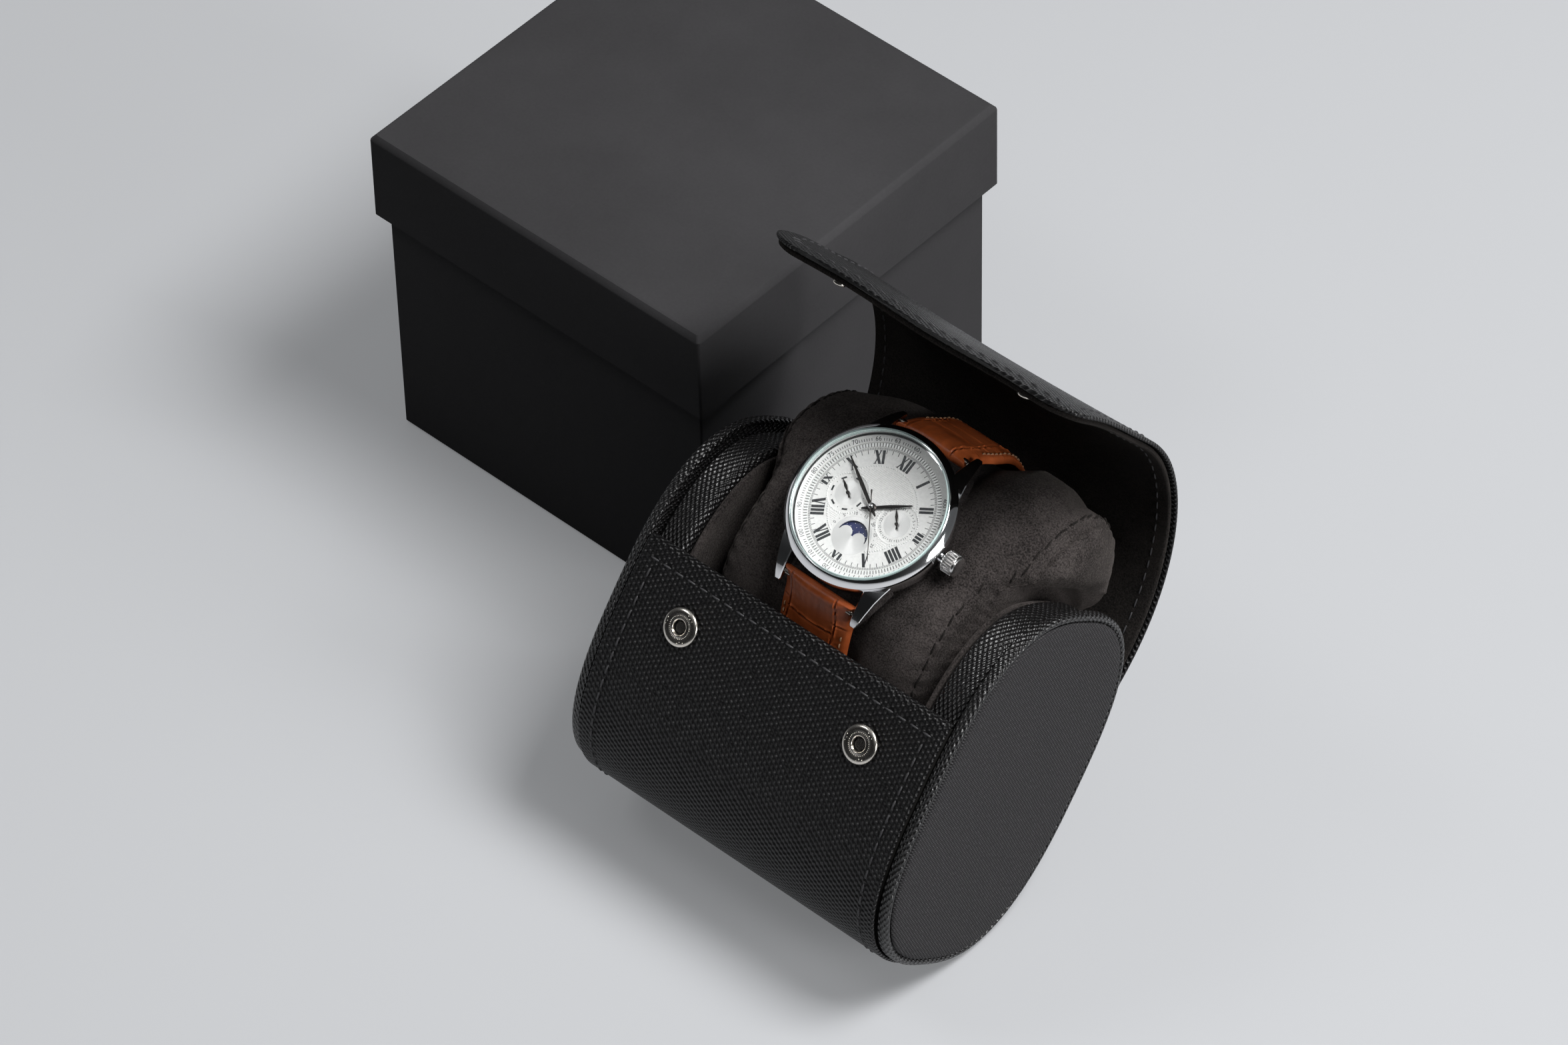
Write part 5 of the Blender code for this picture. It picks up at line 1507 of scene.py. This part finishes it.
def strap_ring(p, n, thick, s, half):
    """Ring across the strap, embossed on its upper side, and the depth of its pattern."""
    across, under = 64, 12
    edge = min(0.0014, thick)
    ring, depths = [], []
    for i in range(across + 1):
        t = math.sin((i / across - 0.5) * PI)
        x = t * half
        g = groove(x, max(s, 0.0)) * (1 - abs(t) ** 12)
        dome = (thick - edge) * (1 - abs(t) ** 3.2) ** 0.8 + edge * (1 - abs(t) ** 40)
        wave = 2 * PI * x / 0.00062 + 3 * noise.noise(Vector((x * 900, s * 200, 0)))
        pleat = 0.00004 * math.cos(wave) * (1 - ramp01(s, 0.003, 0.009))
        grain = 0.00003 * noise.noise(Vector((x * 1400, s * 700, 3)))
        relief = (pleat + grain - 0.00036 * g) * min(1.0, thick / 0.001) * (1 - abs(t) ** 8)
        q = p + n * (-thick / 2 + dome * 0.96 + relief)
        ring.append((x, q.x, q.y))
        depths.append(g)
    for i in range(1, under):
        q = p - n * thick / 2
        ring.append((half * (1 - 2 * i / under) * 0.985, q.x, q.y))
        depths.append(0.0)
    return ring, depths


def strap_half(name, side, points, end_thickness):
    stations, normals, distances = strap_stations(side, points, end_thickness)
    length = distances[-1]
    rings, vs, depths = [], [], []
    for p, n, thick, s in stations:
        width = strap_width(max(0.0, min(1.0, s / length))) + 0.0005 * (1 - ramp01(s, 0.0, 0.003))
        if not end_thickness:
            share = max(0.0, (s - length + 0.009) / 0.009)
            width *= math.sqrt(1 - 0.97 * share * share)
        ring, depth = strap_ring(p, n, thick, s, width / 2)
        rings.append(ring)
        vs.append(s)
        depths += depth
    mesh = loft(name, rings, [along(r) for r in rings], vs)
    layer = mesh.attributes.new("groove", "FLOAT", "POINT")
    layer.data.foreach_set("value", np.array(depths, dtype=np.float32))
    new_object(name + "_looks", mesh, MATS["strap"], body="base", place=PILLOW, replaces=(name,),
               slot="brown_leather", sharp=60.0)
    strap_stitches(name, points, normals, distances)


def strap_stitches(name, points, normals, distances):
    places = []
    s = 0.0086
    while s < distances[-1] - 0.012:
        i = int(np.searchsorted(distances, s)) - 1
        n = normals[i]
        d = (points[i + 1] - points[i]).normalized()
        q = points[i] + n * (-STRAP_THIN / 2 + 0.00185)
        edge = strap_width(s / distances[-1]) / 2 - 0.0014
        for side in (-1, 1):
            places.append((Vector((side * edge, q.x, q.y)), Vector((0.0, d.x, d.y)),
                           Vector((0.0, n.x, n.y))))
        s += 0.0021
    stitches(name + "_stitches", carried(PILLOW, places), 0.0014, 0.00020, MATS["strap_thread"],
             body="base", slot="brown_leather")


def keeper(name, degrees, body):
    """Leather loop round the strap."""
    point = lap(degrees, 0.0)
    normal = rounded_normal(point, WAIST_LONG, WAIST_THICK, C_POWER)
    rings = []
    for corner, (side, up) in enumerate(((1, 1), (-1, 1), (-1, -1), (1, -1))):
        for i in range(6):
            t = (corner + i / 5) * PI / 2
            ring = []
            for r, y in ((0.0, -0.5), (0.0, 0.5), (0.0003, 0.5), (0.0004, 0.47), (0.0004, -0.47),
                         (0.0003, -0.5)):
                ring.append((side * 0.0088 + (0.0006 + r) * math.cos(t), y * 0.0045,
                             (0.0054 if up > 0 else 0.0011) + (0.0006 + r) * math.sin(t)))
            rings.append(ring)
    mesh = loft(name, rings, [along(r) for r in rings], [0.001 * i for i in range(len(rings))],
                closed=True)
    new_object(name + "_looks", mesh, MATS["strap_plain"], body=body,
               place=facing(PILLOW, 0.0, point, normal), replaces=(name,), slot="brown_leather",
               sharp=30.0)


def strap():
    strap_half("strap_long", 1, strap_line(
        1, 246.0, lambda t: 0.0015 + 0.0031 * ramp01(t, 191.0, 200.5)), 0.0)
    strap_half("strap_short", -1, strap_line(
        -1, 203.0, lambda t: 0.0015 + 0.0004 * ramp01(-t, -262.0, -242.0)), 0.0026)
    keeper("keeper_fixed", 215.0, "base")
    keeper("keeper_free", 231.0, "keeper_free")


# Snaps

SNAP_X = 0.027
STUD_FROM_EDGE = 0.0103


def snaps():
    p = oval(math.radians(270.6))
    ring = [(0.0018, -0.0004), (0.0021, 0.0001), (0.0043, 0.0001), (0.0046, 0.0003), (0.00462, 0.00055),
            (0.0044, 0.00085), (0.0039, 0.00108), (0.0033, 0.00112), (0.0029, 0.00100),
            (0.0025, 0.00098), (0.00225, 0.00110), (0.0020, 0.00112), (0.0018, 0.00095)]
    well = [(0.0, -0.0011), (0.0017, -0.0011), (0.0017, -0.0009), (0.0010, -0.0009), (0.0010, -0.0001),
            (0.00085, 0.0), (0.0007, -0.0001), (0.0007, -0.0009), (0.0, -0.0009)]
    dots = [(bead(0.00012, 8), turned(360 * i / 36, 0.0027, 0.00097)) for i in range(36)]
    dots += [(bead(0.00014, 8), turned(120 * k + 12 * i + 30, 0.0034 + 0.0003 * (i % 2), 0.00108))
             for k in range(3) for i in range(-1, 2)]
    for side, label in ((-1, "left"), (1, "right")):
        place = facing(ROLL, side * SNAP_X, p, oval_normal_at(p))
        socket = join("socket", [spun("socket", ring, 96), gather("dots", dots)])
        part("snap_socket_looks_" + label, socket, "nickel", ("snap_socket_" + label,),
             slot="nickel", place=place, sharp=50.0)
        # The well is dark nickel: painted shade for the inside of the socket's hole.
        spun_part("snap_well_" + label, well, 48, "nickel_painted_shade", slot="nickel",
                  place=place @ Matrix.Translation((0.0002, -0.0002, 0.0)))


def studs():
    """Nickel knobs on the flap's lining, where its droop puts them."""
    s = FLAP_LENGTH - STUD_FROM_EDGE
    point, normal = flap_at(s)
    knob = [(0.0, -0.0006), (0.0030, -0.0006), (0.0034, 0.0), (0.00342, 0.0003), (0.0031, 0.00055),
            (0.0019, 0.00070), (0.0015, 0.0009), (0.00135, 0.0013), (0.00155, 0.0018),
            (0.00150, 0.0021), (0.0012, 0.0023), (0.0, 0.00235)]
    for side, label in ((-1, "left"), (1, "right")):
        x = side * SNAP_X
        place = facing(ROLL, x, point - normal * (0.0020 + sag(x, s)), -normal)
        spun_part("snap_stud_looks_" + label, knob, 64, "nickel", ("snap_stud_" + label,),
                  body="flap_tip", slot="nickel", place=place, sharp=50.0)


# Stage, light and camera

def area(name, place, target, size, power):
    light = bpy.data.lights.new(name, "AREA")
    light.energy = power
    light.shape = "RECTANGLE"
    light.size = light.size_y = size
    obj = bpy.data.objects.new(name, light)
    bpy.context.scene.collection.objects.link(obj)
    obj.location = place
    obj.rotation_mode = "QUATERNION"
    obj.rotation_quaternion = (Vector(target) - Vector(place)).to_track_quat("-Z", "Y")


def stage():
    """Floor that is paler to the camera than to the light it throws back."""
    g = Graph("pale_floor")
    cloud = g.noise(g.place(), 2.2, 2.0)
    path = g.node("ShaderNodeLightPath").outputs
    seen = g.math("MAXIMUM", g.math("MAXIMUM", path["Is Camera Ray"], path["Is Glossy Ray"]),
                  path["Is Transmission Ray"])
    pale = g.ramp(cloud, [(0.3, (0.367, 0.373, 0.385)), (0.7, (0.385, 0.391, 0.403))])
    g.set(Base_Color=g.mix(seen, (0.08, 0.08, 0.083, 1.0), pale), Roughness=0.85,
          Specular_IOR_Level=0.1, Emission_Color=(0.95, 0.97, 1.0, 1.0),
          Emission_Strength=g.times(seen, 0.165))
    mesh = mesh_from("floor", [(-6, -6, 0), (6, -6, 0), (6, 6, 0), (-6, 6, 0)], [(0, 1, 2, 3)])
    floor = new_object("floor", mesh, g.mat)
    floor.location = (0.0, 0.0, -0.0005)
    studio_world()
    middle = (0.07, -0.04, 0.05)
    area("key", (0.75, 0.25, 1.40), middle, 0.60, 26.5)
    area("side", (1.60, 0.05, 0.45), middle, 0.60, 12.0)
    watch = WATCH.translation
    above = 0.95 * Vector((-0.353, -0.213, 0.910)) + Vector((-0.150, -0.090, -0.082))
    area("softbox", watch + above, watch, 0.30, 1.15)


def studio_world():
    """Soft room: pale overhead, dim lower down and dimmer in front."""
    world = bpy.data.worlds.new("studio")
    bpy.context.scene.world = world
    g = Graph("studio", world)
    _, y, z = g.split(g.node("ShaderNodeTexCoord").outputs["Generated"])
    up = g.ramp(z, [(0.0, (0.16, 0.165, 0.17)), (0.25, (0.11, 0.113, 0.117)), (0.60, (0.12, 0.125, 0.13)),
                    (0.88, (0.30, 0.31, 0.32)), (1.0, (0.40, 0.41, 0.42))])
    front = g.ramp(g.line(y, 0.5, 0.5), [(0.10, (0.12, 0.12, 0.12)), (0.55, (1.0, 1.0, 1.0))])
    background = g.tree.nodes["Background"]
    g.put(background.inputs["Color"], g.mix(1.0, up, front, "MULTIPLY"))
    background.inputs["Strength"].default_value = 0.75


def camera():
    data = bpy.data.cameras.new("camera")
    data.lens = 169.9
    data.sensor_width = 36.0
    obj = bpy.data.objects.new("camera", data)
    bpy.context.scene.collection.objects.link(obj)
    right, up = Vector((0.7439, 0.668, -0.0167)), Vector((-0.4741, 0.5452, 0.6914))
    forward = Vector((-0.471, 0.5064, -0.7223))
    rows = Matrix((right, up, -forward)).transposed()
    obj.matrix_world = Matrix.Translation((0.88287, -0.91804, 1.28797)) @ rows.to_4x4()
    data.clip_start, data.clip_end = 0.05, 20.0
    bpy.context.scene.camera = obj


# Spring bars take the darkened nickel, painted shade for where they sit between strap and lugs.
CARRIED = {"snap": "nickel", "winding": "steel", "spring": "nickel_painted_shade", "buckle": "steel", "cover_board": "board",
           "watch_movement": "movement"}


def dress_carried():
    """Materials for the CAD nodes that stay."""
    for name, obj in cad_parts.items():
        for start, key in CARRIED.items():
            if name.startswith(start):
                obj.data.materials.clear()
                obj.data.materials.append(MATS[key])


def main():
    carton()
    cover_skin()
    flap_skin()
    lining_skins()
    for side, label in ((-1, "left"), (1, "right")):
        roll_end(side, label)
    roll_stitches()
    flap_stitches()
    cushion()
    case()
    dial()
    crown_looks()
    hands()
    strap()
    snaps()
    studs()
    dress_carried()
    stage()
    camera()
    bpy.context.scene.view_settings.view_transform = "Standard"


main()
